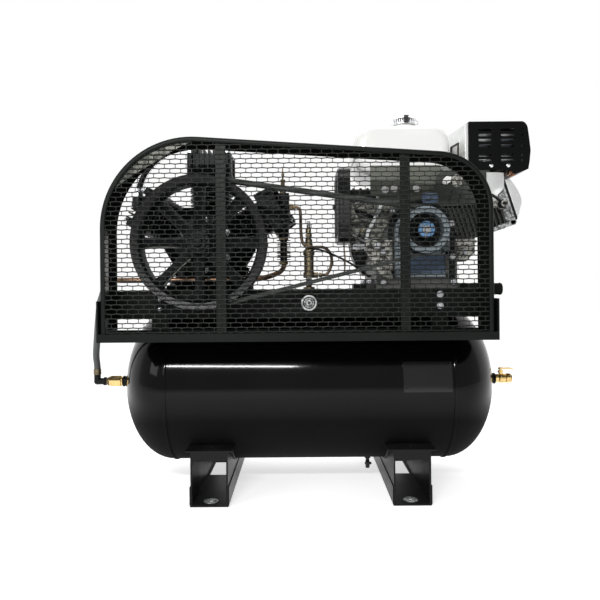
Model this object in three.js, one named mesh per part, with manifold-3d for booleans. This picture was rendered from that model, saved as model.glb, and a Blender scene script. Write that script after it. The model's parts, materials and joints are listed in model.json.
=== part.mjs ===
// Engine-driven air compressor: a three-cylinder belt-driven pump and a horizontal-shaft petrol engine
// on a deck above a horizontal receiver tank, with an expanded-metal belt guard in front.
// Millimetres. +X to the right, +Y away from the belt guard, +Z up.
import * as THREE from 'three';
import { mergeVertices } from 'three/addons/utils/BufferGeometryUtils.js';
import Module from 'manifold-3d';

const wasm = await Module();
wasm.setup();

// ---------------------------------------------------------------- driving dimensions
const GAP = 0.3; // clearance left between pieces that touch

const TANK = { x: -3, radius: 198, wall: 4, axisZ: 262, seam: 340, flange: 5, headDepth: 126, sides: 32 };
const TANK_TIP = TANK.seam + TANK.flange + TANK.headDepth;
const BUNG_END = TANK_TIP + 21;

const FOOT = { x: 235.5, halfDepth: 202, shelfZ: 126, plate: 4 };

const DECK = { left: -462, right: 404, halfDepth: 175, top: 501, sheet: 5, skirt: 64 };

const PUMP = { x: -250, z: 610, tilt: 60, cylinderY: -45 }; // crankshaft centre and side-cylinder tilt
const ENGINE = { x: 257, z: 634, slant: 18 }; // crankshaft centre and cylinder slant above level
const DRIVE = { y: -235, flywheel: 152, pulley: 54, grooveStep: 22, beltDepth: 9, beltHalfWidth: 4.6 };

const GUARD = {
  left: -459, right: 398, bottom: 394.3,
  leftRadius: 200, leftArcZ: 638, rightRadius: 124, slope: 3.8,
  front: -290, back: -175, sheet: 3, lip: 11,
};
const MESH = { pitchX: 142, pitchZ: 60, strand: 11, sheet: 2.5 };

// ---------------------------------------------------------------- finishes
const finish = (color, roughness, metalness) =>
  new THREE.MeshStandardMaterial({ color, roughness, metalness });
const blackGloss = finish(0x0b0b0c, 0.22, 0.1);
const blackSatin = finish(0x121413, 0.45, 0.2);
const blackIron = finish(0x17191a, 0.6, 0.4);
const blackPlastic = finish(0x101010, 0.5, 0);
const blackRubber = finish(0x1b1d1d, 0.8, 0);
const brass = finish(0xc9a24a, 0.3, 1);
const copper = finish(0x8a5a38, 0.4, 1);
const zinc = finish(0xb9bdc0, 0.35, 1);
const castAluminium = finish(0xa9abaa, 0.5, 0.9);
const blueAluminium = finish(0x6f8fa8, 0.45, 0.6);
const blueHub = finish(0x4a78ad, 0.4, 0.4);
const creamPaint = finish(0xf4f3ea, 0.3, 0);
const redPlastic = finish(0xb02a20, 0.4, 0);

// ---------------------------------------------------------------- solids from three.js geometry
const NORMAL_SIDES = 16;

/** Turns a closed geometry into a solid: shared corners, no slivers, faces outward. */
function toSolid(geometry) {
  const bare = geometry.clone();
  bare.deleteAttribute('normal');
  bare.deleteAttribute('uv');
  const merged = mergeVertices(bare, 1e-3);
  const points = merged.attributes.position;
  const corner = [new THREE.Vector3(), new THREE.Vector3(), new THREE.Vector3()];
  const triangles = [];
  let volume = 0;
  for (let i = 0; i < merged.index.count; i += 3) {
    const ids = [0, 1, 2].map((k) => merged.index.getX(i + k));
    if (new Set(ids).size < 3) continue;
    ids.forEach((id, k) => corner[k].fromBufferAttribute(points, id));
    volume += corner[0].dot(corner[1].clone().cross(corner[2]));
    triangles.push(ids);
  }
  if (volume < 0) triangles.forEach((ids) => ids.reverse());
  const mesh = new wasm.Mesh({
    numProp: 3,
    vertProperties: new Float32Array(points.array),
    triVerts: new Uint32Array(triangles.flat()),
  });
  return new wasm.Manifold(mesh);
}

function fromSolid(solid) {
  const mesh = solid.getMesh();
  const geometry = new THREE.BufferGeometry();
  geometry.setAttribute('position', new THREE.BufferAttribute(new Float32Array(mesh.vertProperties), 3));
  geometry.setIndex(new THREE.BufferAttribute(new Uint32Array(mesh.triVerts), 1));
  return geometry;
}

const join = (...parts) => fromSolid(parts.map(toSolid).reduce((all, next) => all.add(next)));
const cut = (body, ...tools) =>
  fromSolid(tools.map(toSolid).reduce((rest, tool) => rest.subtract(tool), toSolid(body)));

// ---------------------------------------------------------------- shape helpers
const outline = (points) => new THREE.Shape(points.map(([x, y]) => new THREE.Vector2(x, y)));
const mirrored = (points) => points.map(([x, y]) => [-x, y]).reverse();

function block(x0, x1, y0, y1, z0, z1) {
  return new THREE.BoxGeometry(x1 - x0, y1 - y0, z1 - z0)
    .translate((x0 + x1) / 2, (y0 + y1) / 2, (z0 + z1) / 2);
}

/** Rectangle with round corners, centred on a point. */
function roundedRectangle(cx, cy, width, height, radius) {
  const shape = new THREE.Shape();
  const [a, b] = [width / 2 - radius, height / 2 - radius];
  shape.absarc(cx + a, cy + b, radius, 0, Math.PI / 2);
  shape.absarc(cx - a, cy + b, radius, Math.PI / 2, Math.PI);
  shape.absarc(cx - a, cy - b, radius, Math.PI, 1.5 * Math.PI);
  shape.absarc(cx + a, cy - b, radius, 1.5 * Math.PI, 2 * Math.PI);
  shape.closePath();
  return shape;
}

/** A front-view (x, z) shape extruded from y0 back to y1. */
function prismY(shape, y0, y1, curveSegments = 3, bevel = 0) {
  const bevelOptions = {
    bevelEnabled: bevel > 0, bevelThickness: bevel, bevelSize: bevel, bevelOffset: -bevel, bevelSegments: 2,
  };
  const depth = y1 - y0 - 2 * bevel;
  return new THREE.ExtrudeGeometry(shape, { depth, curveSegments, ...bevelOptions })
    .rotateX(Math.PI / 2)
    .translate(0, y1 - bevel, 0);
}

/** A side-view (y, z) shape extruded from x0 to x1. */
function prismX(shape, x0, x1, curveSegments = 3, bevel = 0) {
  return prismY(shape, -x1, -x0, curveSegments, bevel).rotateZ(Math.PI / 2);
}

/** A plan-view (x, y) shape extruded from z0 up to z1. */
function prismZ(shape, z0, z1, curveSegments = 2) {
  return new THREE.ExtrudeGeometry(shape, { depth: z1 - z0, curveSegments, bevelEnabled: false })
    .translate(0, 0, z0);
}

/** Stands a +Y geometry on a point and turns it to a direction. */
function aim(geometry, from, direction) {
  const turn = new THREE.Quaternion().setFromUnitVectors(
    new THREE.Vector3(0, 1, 0), new THREE.Vector3(...direction).normalize());
  return geometry.applyQuaternion(turn).translate(...from);
}

/** Round bar between two points; six sides make a hexagon. */
function rod(from, to, radius, sides = NORMAL_SIDES, endRadius = radius) {
  const direction = to.map((value, k) => value - from[k]);
  const length = Math.hypot(...direction);
  const bar = new THREE.CylinderGeometry(endRadius, radius, length, sides).translate(0, length / 2, 0);
  return aim(bar, from, direction);
}

/** Body of revolution: profile of [radius, distance along the axis]. */
function turned(profile, from, direction, sides = NORMAL_SIDES) {
  const points = profile.map(([radius, along]) => new THREE.Vector2(radius, along));
  return aim(new THREE.LatheGeometry(points, sides), from, direction);
}

/** Round tube or hose along a smooth curve through hand-set points. */
function tube(points, radius, sides, steps) {
  const route = new THREE.CatmullRomCurve3(points.map((p) => new THREE.Vector3(...p)), false, 'centripetal');
  const section = new THREE.Shape();
  section.absarc(0, 0, radius, 0, 2 * Math.PI);
  return new THREE.ExtrudeGeometry(section, {
    steps, extrudePath: route, curveSegments: Math.ceil(sides / 2), bevelEnabled: false,
  });
}

const radians = THREE.MathUtils.degToRad;
const compressor = new THREE.Group();

function addTo(group, name, geometry, material) {
  geometry.computeVertexNormals();
  const mesh = new THREE.Mesh(geometry, material);
  mesh.name = name;
  group.add(mesh);
}

// ---------------------------------------------------------------- receiver tank
const tankGroup = new THREE.Group();
tankGroup.position.set(TANK.x, 0, TANK.axisZ);
compressor.add(tankGroup);

const ALONG_X = [1, 0, 0];

function tankShell() {
  const inner = TANK.radius - TANK.wall;
  const profile = [
    [inner, -TANK.seam], [TANK.radius, -TANK.seam], [TANK.radius, TANK.seam], [inner, TANK.seam],
    [inner, -TANK.seam],
  ];
  return turned(profile, [0, 0, 0], ALONG_X, TANK.sides);
}

/** Dished head, a straight flange and a deep ellipse, with its boss and the black nipple screwed into it. */
function tankHead(side) {
  const start = TANK.seam + GAP;
  const shoulder = TANK.seam + TANK.flange;
  const dish = (radius, depth, steps) => Array.from({ length: steps + 1 }, (_, k) => {
    const angle = (k / steps) * (Math.PI / 2);
    return [radius * Math.cos(angle), shoulder + depth * Math.sin(angle)];
  });
  const outer = dish(TANK.radius, TANK.headDepth, 5);
  const inner = dish(TANK.radius - TANK.wall, TANK.headDepth - TANK.wall, 2).reverse();
  outer[outer.length - 1][0] = 0;
  inner[0][0] = 0;
  const profile = [[TANK.radius, start], ...outer, ...inner, [TANK.radius - TANK.wall, start]];
  profile.push(profile[0]);
  const shell = turned(profile, [0, 0, 0], [side, 0, 0], TANK.sides);
  const bung = join(
    rod([side * (TANK_TIP - 3), 0, 0], [side * (TANK_TIP + 9), 0, 0], 25, 16, 21),
    rod([side * (TANK_TIP + 8), 0, 0], [side * BUNG_END, 0, 0], 13, 12),
  );
  return join(shell, bung);
}

/** Bare plate wrapped on the front of the shell. */
function dataPlate() {
  const [low, high] = [radians(180), radians(159.5)];
  const shape = new THREE.Shape();
  shape.absarc(0, 0, TANK.radius + 2, low, high, true);
  shape.absarc(0, 0, TANK.radius + GAP + 0.2, high, low, false);
  return prismX(shape, 217, 331, 2);
}

/** Welded channel foot: base with slots, stepped walls cut to the shell, and a shelf in front and behind. */
function foot() {
  const lower = TANK.axisZ;
  const half = [
    [44, 0], [46, 5], [46, 46], [43.5, 46], [43.5, FOOT.shelfZ], [56, FOOT.shelfZ],
    [56, FOOT.shelfZ + FOOT.plate],
  ];
  const section = outline([...half, ...mirrored(half)]);
  const hollow = [[39.5, FOOT.plate], [39.5, FOOT.shelfZ]];
  section.holes.push(outline([...hollow, ...mirrored(hollow)]));
  const channel = prismY(section, -FOOT.halfDepth, FOOT.halfDepth);
  const saddle = rod([-80, 0, lower], [80, 0, lower], TANK.radius + GAP + 0.1, TANK.sides);
  const lips = [-1, 1].map((end) => {
    const [near, far] = [end * FOOT.halfDepth, end * (FOOT.halfDepth - 4)].sort((a, b) => a - b);
    return block(-39.8, 39.8, near, far, FOOT.shelfZ - 20, FOOT.shelfZ + 1);
  });
  const slots = [-1, 1].map((end) =>
    prismZ(roundedRectangle(0, end * 174, 14, 28, 6.9), -1, FOOT.plate + 1, 1));
  const shelfHoles = [-1, 1].map((end) =>
    rod([0, end * 172, FOOT.shelfZ - 1], [0, end * 172, FOOT.shelfZ + FOOT.plate + 1], 9, 8));
  const window = block(-34, 34, 25, 150, -1, FOOT.plate + 1);
  return cut(join(channel, ...lips), saddle, window, ...slots, ...shelfHoles);
}

function outletValveBody() {
  const x = BUNG_END + GAP;
  return join(
    rod([x, 0, 0], [x + 9, 0, 0], 12, 6),
    rod([x + 8, 0, 0], [x + 30, 0, 0], 11.5, 12),
    rod([x + 28, 0, 0], [x + 43, 0, 0], 12.5, 6),
    rod([x + 15, 0, 8], [x + 15, 0, 23], 5, 8),
  );
}

function outletValveLever() {
  const x = BUNG_END + GAP + 15;
  const z = 23 + GAP;
  return join(
    rod([x, 0, z], [x, 0, z + 4], 7, 8),
    block(x, x + 33, -5, 5, z + 1.5, z + 4.5),
    block(x + 27, x + 33, -5, 5, z - 3, z + 4.5),
  );
}

function checkValve() {
  const x = -(BUNG_END + GAP);
  return join(
    rod([x, 0, 0], [x - 5, 0, 0], 11, 12),
    rod([x - 4, 0, 0], [x - 35, 0, 0], 15.5, 6),
    rod([x - 34, 0, 0], [x - 44, 0, 0], 10, 12),
  );
}

const ELBOW = { x: -564, radius: 9, top: 284 };

function inletElbow() {
  const level = [ELBOW.x, 0, TANK.axisZ];
  return join(
    rod([TANK.x - (BUNG_END + 44 + 2 * GAP), 0, TANK.axisZ], level, ELBOW.radius, 12),
    new THREE.SphereGeometry(ELBOW.radius, 12, 8).translate(...level),
    rod(level, [ELBOW.x, 0, ELBOW.top], ELBOW.radius, 12),
  );
}

const DRAIN = { x: 153 };

function drainCockBody() {
  const top = -TANK.radius - GAP;
  return join(
    rod([DRAIN.x, 0, top], [DRAIN.x, 0, top - 10], 8, 6),
    rod([DRAIN.x, 0, top - 9], [DRAIN.x, 0, top - 36], 5.5, 10),
  );
}

/** Wing key on the front of the drain cock. */
function drainCockKey() {
  const z = -TANK.radius - 20;
  return join(
    rod([DRAIN.x, -6, z], [DRAIN.x, -14, z], 3, 8),
    block(DRAIN.x - 9, DRAIN.x + 9, -17, -13.5, z - 3, z + 3),
  );
}

addTo(tankGroup, 'tank_shell', tankShell(), blackGloss);
addTo(tankGroup, 'left_tank_head', tankHead(-1), blackGloss);
addTo(tankGroup, 'right_tank_head', tankHead(1), blackGloss);
addTo(tankGroup, 'data_plate', dataPlate(), blackSatin);
addTo(tankGroup, 'check_valve', checkValve(), brass);
addTo(tankGroup, 'outlet_valve_body', outletValveBody(), brass);
addTo(tankGroup, 'outlet_valve_lever', outletValveLever(), brass);
addTo(tankGroup, 'drain_cock_body', drainCockBody(), brass);
addTo(tankGroup, 'drain_cock_key', drainCockKey(), brass);
addTo(compressor, 'inlet_elbow', inletElbow(), blackIron);
for (const [name, side] of [['left_foot', -1], ['right_foot', 1]]) {
  addTo(compressor, name, foot().translate(TANK.x + side * FOOT.x, 0, 0), blackSatin);
}

// ---------------------------------------------------------------- deck
/** Channel deck with its four saddle plates cut to the shell. */
function deck() {
  const { left, right, halfDepth, top, sheet, skirt } = DECK;
  const plate = block(left, right, -halfDepth, halfDepth, top - sheet, top);
  const skirts = [-1, 1].map((end) => {
    const [near, far] = [end * halfDepth, end * (halfDepth - sheet)].sort((a, b) => a - b);
    return block(left, right, near, far, top - skirt, top - 1);
  });
  const saddles = [-268, -204, 204, 268].map((x) => block(x - 3, x + 3, -130, 130, 400, top - 1));
  const shell = rod([left, 0, TANK.axisZ], [right, 0, TANK.axisZ], TANK.radius + GAP + 0.1, TANK.sides);
  return cut(join(plate, ...skirts, ...saddles), shell);
}

addTo(compressor, 'deck', deck(), blackSatin);

// ---------------------------------------------------------------- belt guard
/** Outline of the hoop, inset by a distance: straight sides, two arcs and a sloping top. */
function hoopOutline(inset, bottom = GUARD.bottom) {
  const slope = radians(GUARD.slope);
  const [left, right] = [GUARD.left + inset, GUARD.right - inset];
  const leftArc = [GUARD.left + GUARD.leftRadius, GUARD.leftArcZ];
  const rightX = GUARD.right - GUARD.rightRadius;
  const topAt = (x) => leftArc[1] + GUARD.leftRadius / Math.cos(slope) - (x - leftArc[0]) * Math.tan(slope);
  const rightArc = [rightX, topAt(rightX) - GUARD.rightRadius / Math.cos(slope)];
  const path = new THREE.Path();
  path.moveTo(left, bottom);
  path.lineTo(left, leftArc[1]);
  path.absarc(...leftArc, GUARD.leftRadius - inset, Math.PI, Math.PI / 2 - slope, true);
  path.absarc(...rightArc, GUARD.rightRadius - inset, Math.PI / 2 - slope, 0, true);
  path.lineTo(right, bottom);
  return path.getPoints(HOOP_STEPS);
}

const HOOP_STEPS = 5; // each arc gets twice as many
const hoopStrip = (outer, inner) =>
  new THREE.Shape([...hoopOutline(outer), ...hoopOutline(inner).reverse()]);

/** Sheet hoop with its front lip and the rubber buffer bolted on its right side. */
function guardHoop() {
  const { front, back, sheet, lip } = GUARD;
  const strip = prismY(hoopStrip(0, sheet), front, back);
  const frontLip = prismY(hoopStrip(0, lip), front, front + sheet);
  const buffer = rod([GUARD.right - 1, -232, 501], [GUARD.right + 34, -232, 501], 15, 12, 13);
  return join(strip, frontLip, buffer);
}

/** Expanded-metal panel: rows of flattened hexagons, each row shifted by half a pitch. */
function guardMesh() {
  const edge = GUARD.sheet + 0.6;
  const bottom = GUARD.bottom + 1;
  const panel = new THREE.Shape(hoopOutline(edge, bottom));
  const border = new THREE.Box2();
  const rim = hoopOutline(edge + 9, bottom + 14);
  rim.forEach((point) => border.expandByPoint(point));
  const [halfX, halfZ] = [(MESH.pitchX - MESH.strand) / 2, (MESH.pitchZ - MESH.strand) / 2];
  const inside = (x, z) => {
    let odd = false;
    rim.forEach((a, k) => {
      const b = rim[(k + 1) % rim.length];
      if ((a.y > z) !== (b.y > z) && x < a.x + ((z - a.y) * (b.x - a.x)) / (b.y - a.y)) odd = !odd;
    });
    return odd;
  };
  const opening = [
    [-halfX, 0], [-halfX * 0.72, halfZ], [halfX * 0.72, halfZ], [halfX, 0],
    [halfX * 0.72, -halfZ], [-halfX * 0.72, -halfZ],
  ];
  const openings = [];
  let row = 0;
  for (let z = border.min.y + halfZ + 1; z < border.max.y - halfZ; z += MESH.pitchZ) {
    const shift = row % 2 ? MESH.pitchX / 2 : 0;
    row += 1;
    for (let x = border.min.x + halfX + 1 + shift; x < border.max.x - halfX; x += MESH.pitchX) {
      const corners = opening.map(([dx, dz]) => [x + dx, z + dz]);
      if (corners.every(([cx, cz]) => inside(cx, cz))) openings.push(outline(corners));
    }
  }
  const back = GUARD.front + GUARD.sheet + GAP + MESH.sheet;
  return cut(prismY(panel, back - MESH.sheet, back), prismY(openings, back - MESH.sheet - 1, back + 1));
}

/** Flat bar behind the mesh, from the pan to the hoop. */
function guardStrap(x) {
  const front = GUARD.front + GUARD.sheet + MESH.sheet + 2 * GAP;
  const inner = hoopOutline(GUARD.sheet + 0.5, GUARD.bottom + 0.5);
  const clip = prismY(new THREE.Shape(inner), front - 5, front + 8);
  const bar = block(x - 11, x + 11, front, front + 3, GUARD.bottom - 5, 900);
  return fromSolid(toSolid(bar).intersect(toSolid(clip)));
}

/** Pan below the hoop: floor, front lip, end plates with spacers, and two arms bolted to the skirt. */
function guardPan() {
  const front = GUARD.front - GAP - 3;
  const back = GUARD.back - 3;
  const [left, right] = [GUARD.left - 7, GUARD.right + 9];
  const floor = block(left, right, front, back, 391, 394);
  const lip = block(left, right, front, front + 3, 391, 409);
  const backLip = block(GUARD.left + 4, GUARD.right - 4, back - 3, back, 391, 410);
  const ends = [left, right - 3.5].map((x) => block(x, x + 3.5, front, back, 391, 481));
  const arms = [-354, 304].flatMap((x) => [
    block(x - 20, x + 20, back - 3, back + 2.7, 391, 394),
    block(x - 20, x + 20, back - 0.6, back + 2.7, 391, 497),
    ...[462, 489].map((z) => rod([x, back, z], [x, back - 6, z], 7, 6)),
  ]);
  const spacers = [440].flatMap((z) => [
    rod([left + 2, -232, z], [GUARD.left - GAP, -232, z], 8, 10),
    rod([right - 2, -232, z], [GUARD.right + GAP, -232, z], 8, 10),
  ]);
  return join(floor, lip, backLip, ...ends, ...arms, ...spacers);
}

addTo(compressor, 'guard_hoop', guardHoop(), blackSatin);
addTo(compressor, 'guard_mesh', guardMesh(), blackSatin);
addTo(compressor, 'guard_strap_left', guardStrap(-196), blackSatin);
addTo(compressor, 'guard_strap_right', guardStrap(206), blackSatin);
addTo(compressor, 'guard_pan', guardPan(), blackSatin);
addTo(compressor, 'guard_badge', rod([-5, -289.6, 474], [-5, -287.2, 474], 17, 20), zinc);

// ---------------------------------------------------------------- belt drive
const ALONG_Y = [0, 1, 0];

/** Profile of a grooved rim: two V grooves between the given radii. */
function groovedRim(innerRadius, outerRadius, halfWidth) {
  const bottom = outerRadius - DRIVE.beltDepth - 2;
  const grooves = [-1, 1].flatMap((side) => {
    const centre = (side * DRIVE.grooveStep) / 2;
    return [
      [outerRadius, centre - 8.5], [bottom, centre - 5], [bottom, centre + 5], [outerRadius, centre + 8.5],
    ];
  });
  return [
    [innerRadius, -halfWidth], [outerRadius, -halfWidth], ...grooves,
    [outerRadius, halfWidth], [innerRadius, halfWidth],
  ];
}

/** Cast flywheel: grooved rim, hub and eight blade-shaped spokes that fan air over the pump. */
function flywheel() {
  const rimProfile = groovedRim(131, DRIVE.flywheel, 26);
  rimProfile.push(rimProfile[0]);
  const rim = turned(rimProfile, [0, DRIVE.y, 0], ALONG_Y, 24);
  const hub = rod([0, DRIVE.y - 24, 0], [0, DRIVE.y + 28, 0], 36, 16);
  const spokes = Array.from({ length: 8 }, (_, k) => new THREE.BoxGeometry(104, 12, 26)
    .rotateX(radians(24))
    .translate(82, DRIVE.y, 0)
    .rotateY(k * (Math.PI / 4)));
  const bore = rod([0, DRIVE.y - 40, 0], [0, DRIVE.y + 40, 0], 18 + GAP, 16);
  return cut(join(rim, hub, ...spokes), bore);
}

function pumpCrankshaft() {
  return join(
    rod([0, DRIVE.y - 27, 0], [0, -100, 0], 18, 16),
    rod([0, DRIVE.y - 31, 0], [0, DRIVE.y - 26, 0], 11, 6),
  );
}

function enginePulley() {
  const profile = groovedRim(0, DRIVE.pulley, 24);
  const disc = turned(profile, [0, DRIVE.y, 0], ALONG_Y, 16);
  const hub = rod([0, DRIVE.y - 30, 0], [0, DRIVE.y + 30, 0], 19.5, 12);
  const bore = rod([0, DRIVE.y - 40, 0], [0, DRIVE.y + 40, 0], 12.7 + GAP, 12);
  return cut(join(disc, hub), bore);
}

function engineCrankshaft() {
  return join(
    rod([0, DRIVE.y - 31, 0], [0, -150, 0], 12.7, 12),
    rod([0, DRIVE.y - 35, 0], [0, DRIVE.y - 30.5, 0], 8, 6),
  );
}

/** One belt: a closed band round both pulleys, riding in their grooves. */
function belt(y) {
  const from = [PUMP.x, PUMP.z];
  const to = [ENGINE.x, ENGINE.z];
  const line = Math.atan2(to[1] - from[1], to[0] - from[0]);
  const distance = Math.hypot(to[0] - from[0], to[1] - from[1]);
  const wrap = Math.acos((DRIVE.flywheel - DRIVE.pulley) / distance);
  const loop = (offset) => {
    const path = new THREE.Shape();
    path.absarc(...from, DRIVE.flywheel + offset, line + wrap, line + 2 * Math.PI - wrap);
    path.absarc(...to, DRIVE.pulley + offset, line - wrap, line + wrap);
    path.closePath();
    return path;
  };
  const band = loop(0.5);
  band.holes.push(loop(0.5 - DRIVE.beltDepth));
  return prismY(band, y - DRIVE.beltHalfWidth, y + DRIVE.beltHalfWidth, 8);
}

const pumpGroup = new THREE.Group();
pumpGroup.position.set(PUMP.x, 0, PUMP.z);
const engineGroup = new THREE.Group();
engineGroup.position.set(ENGINE.x, 0, ENGINE.z);
compressor.add(pumpGroup, engineGroup);

addTo(pumpGroup, 'flywheel', flywheel(), blackIron);
addTo(pumpGroup, 'pump_crankshaft', pumpCrankshaft(), zinc);
addTo(engineGroup, 'engine_pulley', enginePulley(), blackIron);
addTo(engineGroup, 'engine_crankshaft', engineCrankshaft(), zinc);
addTo(compressor, 'front_belt', belt(DRIVE.y - DRIVE.grooveStep / 2), blackRubber);
addTo(compressor, 'back_belt', belt(DRIVE.y + DRIVE.grooveStep / 2), blackRubber);

// ---------------------------------------------------------------- pump, drawn about its crankshaft
const PUMP_BASE = DECK.top + GAP - PUMP.z;
const BARREL = { pad: 92, top: 158, radius: 44, fin: 55, fins: 3 };
const HEAD = { base: BARREL.top + GAP, sideTop: 214, centreTop: 244, half: 57 };

/** Turns a piece drawn about the upright cylinder to one of the three cylinders. */
const onCylinder = (geometry, tilt) => geometry.rotateY(radians(tilt));

/** Crankcase: six-sided body with a pad under each cylinder, on a flanged base. */
function pumpCrankcase() {
  const { pad } = BARREL;
  const ring = Array.from({ length: 6 }, (_, k) => {
    const angle = radians(60 * k);
    const reach = (pad - 1) / Math.cos(Math.PI / 6);
    return [reach * Math.cos(angle), reach * Math.sin(angle)];
  });
  const body = prismY(outline(ring), -150, 55);
  const pads = [-PUMP.tilt, 0, PUMP.tilt].map((tilt) =>
    onCylinder(rod([0, PUMP.cylinderY, 60], [0, PUMP.cylinderY, pad], 50, 14), tilt));
  const base = block(-98, 98, -140, 45, PUMP_BASE, PUMP_BASE + 14);
  const neck = block(-74, 74, -132, 37, PUMP_BASE + 10, -70);
  const rearCover = rod([0, 54, 0], [0, 68, 0], 66, 16);
  const bolts = [-84, 84].flatMap((x) => [-124, 29].map((y) =>
    rod([x, y, PUMP_BASE + 13], [x, y, PUMP_BASE + 22], 9, 6)));
  const bore = rod([0, -160, 0], [0, -95, 0], 18 + GAP + 0.4, 16);
  return cut(join(body, ...pads, base, neck, rearCover, ...bolts), bore);
}

function frontBearingCover() {
  const disc = turned([[18.6, -150 - GAP], [70, -150 - GAP], [70, -159], [44, -163], [40, -172], [18.6, -172],
    [18.6, -150 - GAP]], [0, 0, 0], ALONG_Y, 18);
  const bolts = Array.from({ length: 6 }, (_, k) => {
    const angle = (k + 0.5) * (Math.PI / 3);
    const [x, z] = [58 * Math.cos(angle), 58 * Math.sin(angle)];
    return rod([x, -156, z], [x, -165, z], 6, 6);
  });
  return join(disc, ...bolts);
}

/** Finned barrel between the crankcase pad and the head. */
function cylinderBarrel(tilt) {
  const { pad, top, radius, fin, fins } = BARREL;
  const first = 107;
  const step = (top - first) / fins;
  const profile = [[0, pad + GAP], [radius, pad + GAP], [radius, first]];
  for (let k = 0; k < fins; k += 1) {
    const z = first + k * step;
    profile.push([fin, z], [fin, z + 4], [radius, z + 4], [radius, z + step]);
  }
  profile[profile.length - 1] = [radius, top];
  profile.push([0, top]);
  const barrel = turned(profile, [0, PUMP.cylinderY, 0], [0, 0, 1], 12);
  return onCylinder(barrel, tilt);
}

/** Cylinder head: square casting with cooling grooves and four corner bolts. */
function cylinderHead(tilt, top, ...extras) {
  const { base, half } = HEAD;
  const y = PUMP.cylinderY;
  const body = prismZ(roundedRectangle(0, y, 2 * half, 2 * half, 12), base, top, 1);
  const grooves = [-30, -10, 10, 30].map((x) =>
    block(x - 4, x + 4, y - half - 1, y + half + 1, top - 16, top + 1));
  const bolts = [-1, 1].flatMap((sx) => [-1, 1].map((sy) =>
    rod([sx * 46, y + sy * 46, top - 1], [sx * 46, y + sy * 46, top + 8], 8, 6)));
  const upright = join(cut(body, ...grooves), ...bolts);
  return join(onCylinder(upright, tilt), ...extras);
}

// Ports on the heads, in the pump's own frame.
const LEFT_PORT = { x: -190, z: 132 };
const RIGHT_PORT = { x: 184, z: 96 };
const VALVE_BOSS = { x: 183, top: 136 };

const SIDE_Y = -60;
const leftBoss = rod([LEFT_PORT.x, PUMP.cylinderY, 100], [LEFT_PORT.x, PUMP.cylinderY, LEFT_PORT.z], 15, 12);
const centreBoss = rod([-40, PUMP.cylinderY, 226], [-40, PUMP.cylinderY, 251], 15, 12);
const rightBoss = block(VALVE_BOSS.x - 16, VALVE_BOSS.x + 16, SIDE_Y - 16, SIDE_Y + 16, 90, VALVE_BOSS.top);
const lowerBossBottom = 26;
const lowerBoss = rod([RIGHT_PORT.x, SIDE_Y, 60], [RIGHT_PORT.x, SIDE_Y, lowerBossBottom], 14, 12);

/** Finned tube from the left head over to the centre head. */
function intercooler() {
  const y = PUMP.cylinderY;
  const route = [
    [LEFT_PORT.x, y, LEFT_PORT.z + 2 * GAP], [LEFT_PORT.x, y, 148], [-176, y, 186], [-158, y, 212],
    [-132, y, 236], [-104, y, 254], [-74, y, 269], [-50, y, 272], [-41, y, 266], [-40, y, 258],
    [-40, y, 251 + 2 * GAP],
  ];
  return tube(route, 8, 6, 14);
}

const OUTLET = { y: -162, z: -83, end: -240 }; // discharge line along the front of the crankcase

/** Finned tube down from the right head, then plain along the crankcase to the hose fitting. */
function aftercooler() {
  const start = lowerBossBottom - GAP;
  const fins = [4, -8, -20, -32].map((z) =>
    rod([RIGHT_PORT.x, SIDE_Y, z], [RIGHT_PORT.x, SIDE_Y, z + 5], 18, 10));
  const core = rod([RIGHT_PORT.x, SIDE_Y, start], [RIGHT_PORT.x, SIDE_Y, -40], 11, 10);
  const route = [
    [RIGHT_PORT.x, SIDE_Y, -38], [RIGHT_PORT.x, SIDE_Y, -50], [176, -72, -62], [158, -100, -72],
    [132, -136, -80], [100, -157, OUTLET.z], [60, OUTLET.y, OUTLET.z], [OUTLET.end + 10, OUTLET.y, OUTLET.z],
  ];
  const fitting = rod([OUTLET.end + 16, OUTLET.y, OUTLET.z], [OUTLET.end, OUTLET.y, OUTLET.z], 10, 6);
  return join(core, ...fins, tube(route, 6.5, 6, 16), fitting);
}

addTo(pumpGroup, 'pump_crankcase', pumpCrankcase(), blackIron);
addTo(pumpGroup, 'front_bearing_cover', frontBearingCover(), blackIron);
addTo(pumpGroup, 'left_cylinder', cylinderBarrel(-PUMP.tilt), blackIron);
addTo(pumpGroup, 'centre_cylinder', cylinderBarrel(0), blackIron);
addTo(pumpGroup, 'right_cylinder', cylinderBarrel(PUMP.tilt), blackIron);
addTo(pumpGroup, 'left_head', cylinderHead(-PUMP.tilt, HEAD.sideTop, leftBoss), blackIron);
addTo(pumpGroup, 'centre_head', cylinderHead(0, HEAD.centreTop, centreBoss), blackIron);
addTo(pumpGroup, 'right_head', cylinderHead(PUMP.tilt, HEAD.sideTop, rightBoss, lowerBoss), blackIron);
addTo(pumpGroup, 'intercooler', intercooler(), blackIron);
addTo(pumpGroup, 'aftercooler', aftercooler(), copper);

/** Paper-element intake filter on the back of a low-pressure head. */
function intakeFilter(x, z) {
  const back = PUMP.cylinderY + HEAD.half + GAP;
  return turned([[0, back], [14, back], [14, back + 16], [34, back + 16], [36, back + 22], [36, back + 56],
    [30, back + 62], [0, back + 62]], [x, 0, z], ALONG_Y, 12);
}

/** Pop safety valve: hexagon, slim body and stem. */
function safetyValve() {
  const z = VALVE_BOSS.top + GAP;
  return turned([[0, z], [9, z], [9, z + 14], [6.5, z + 15], [6.5, z + 36], [2.5, z + 37], [2.5, z + 46],
    [0, z + 46]], [VALVE_BOSS.x, SIDE_Y, 0], [0, 0, 1], 8);
}

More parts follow.
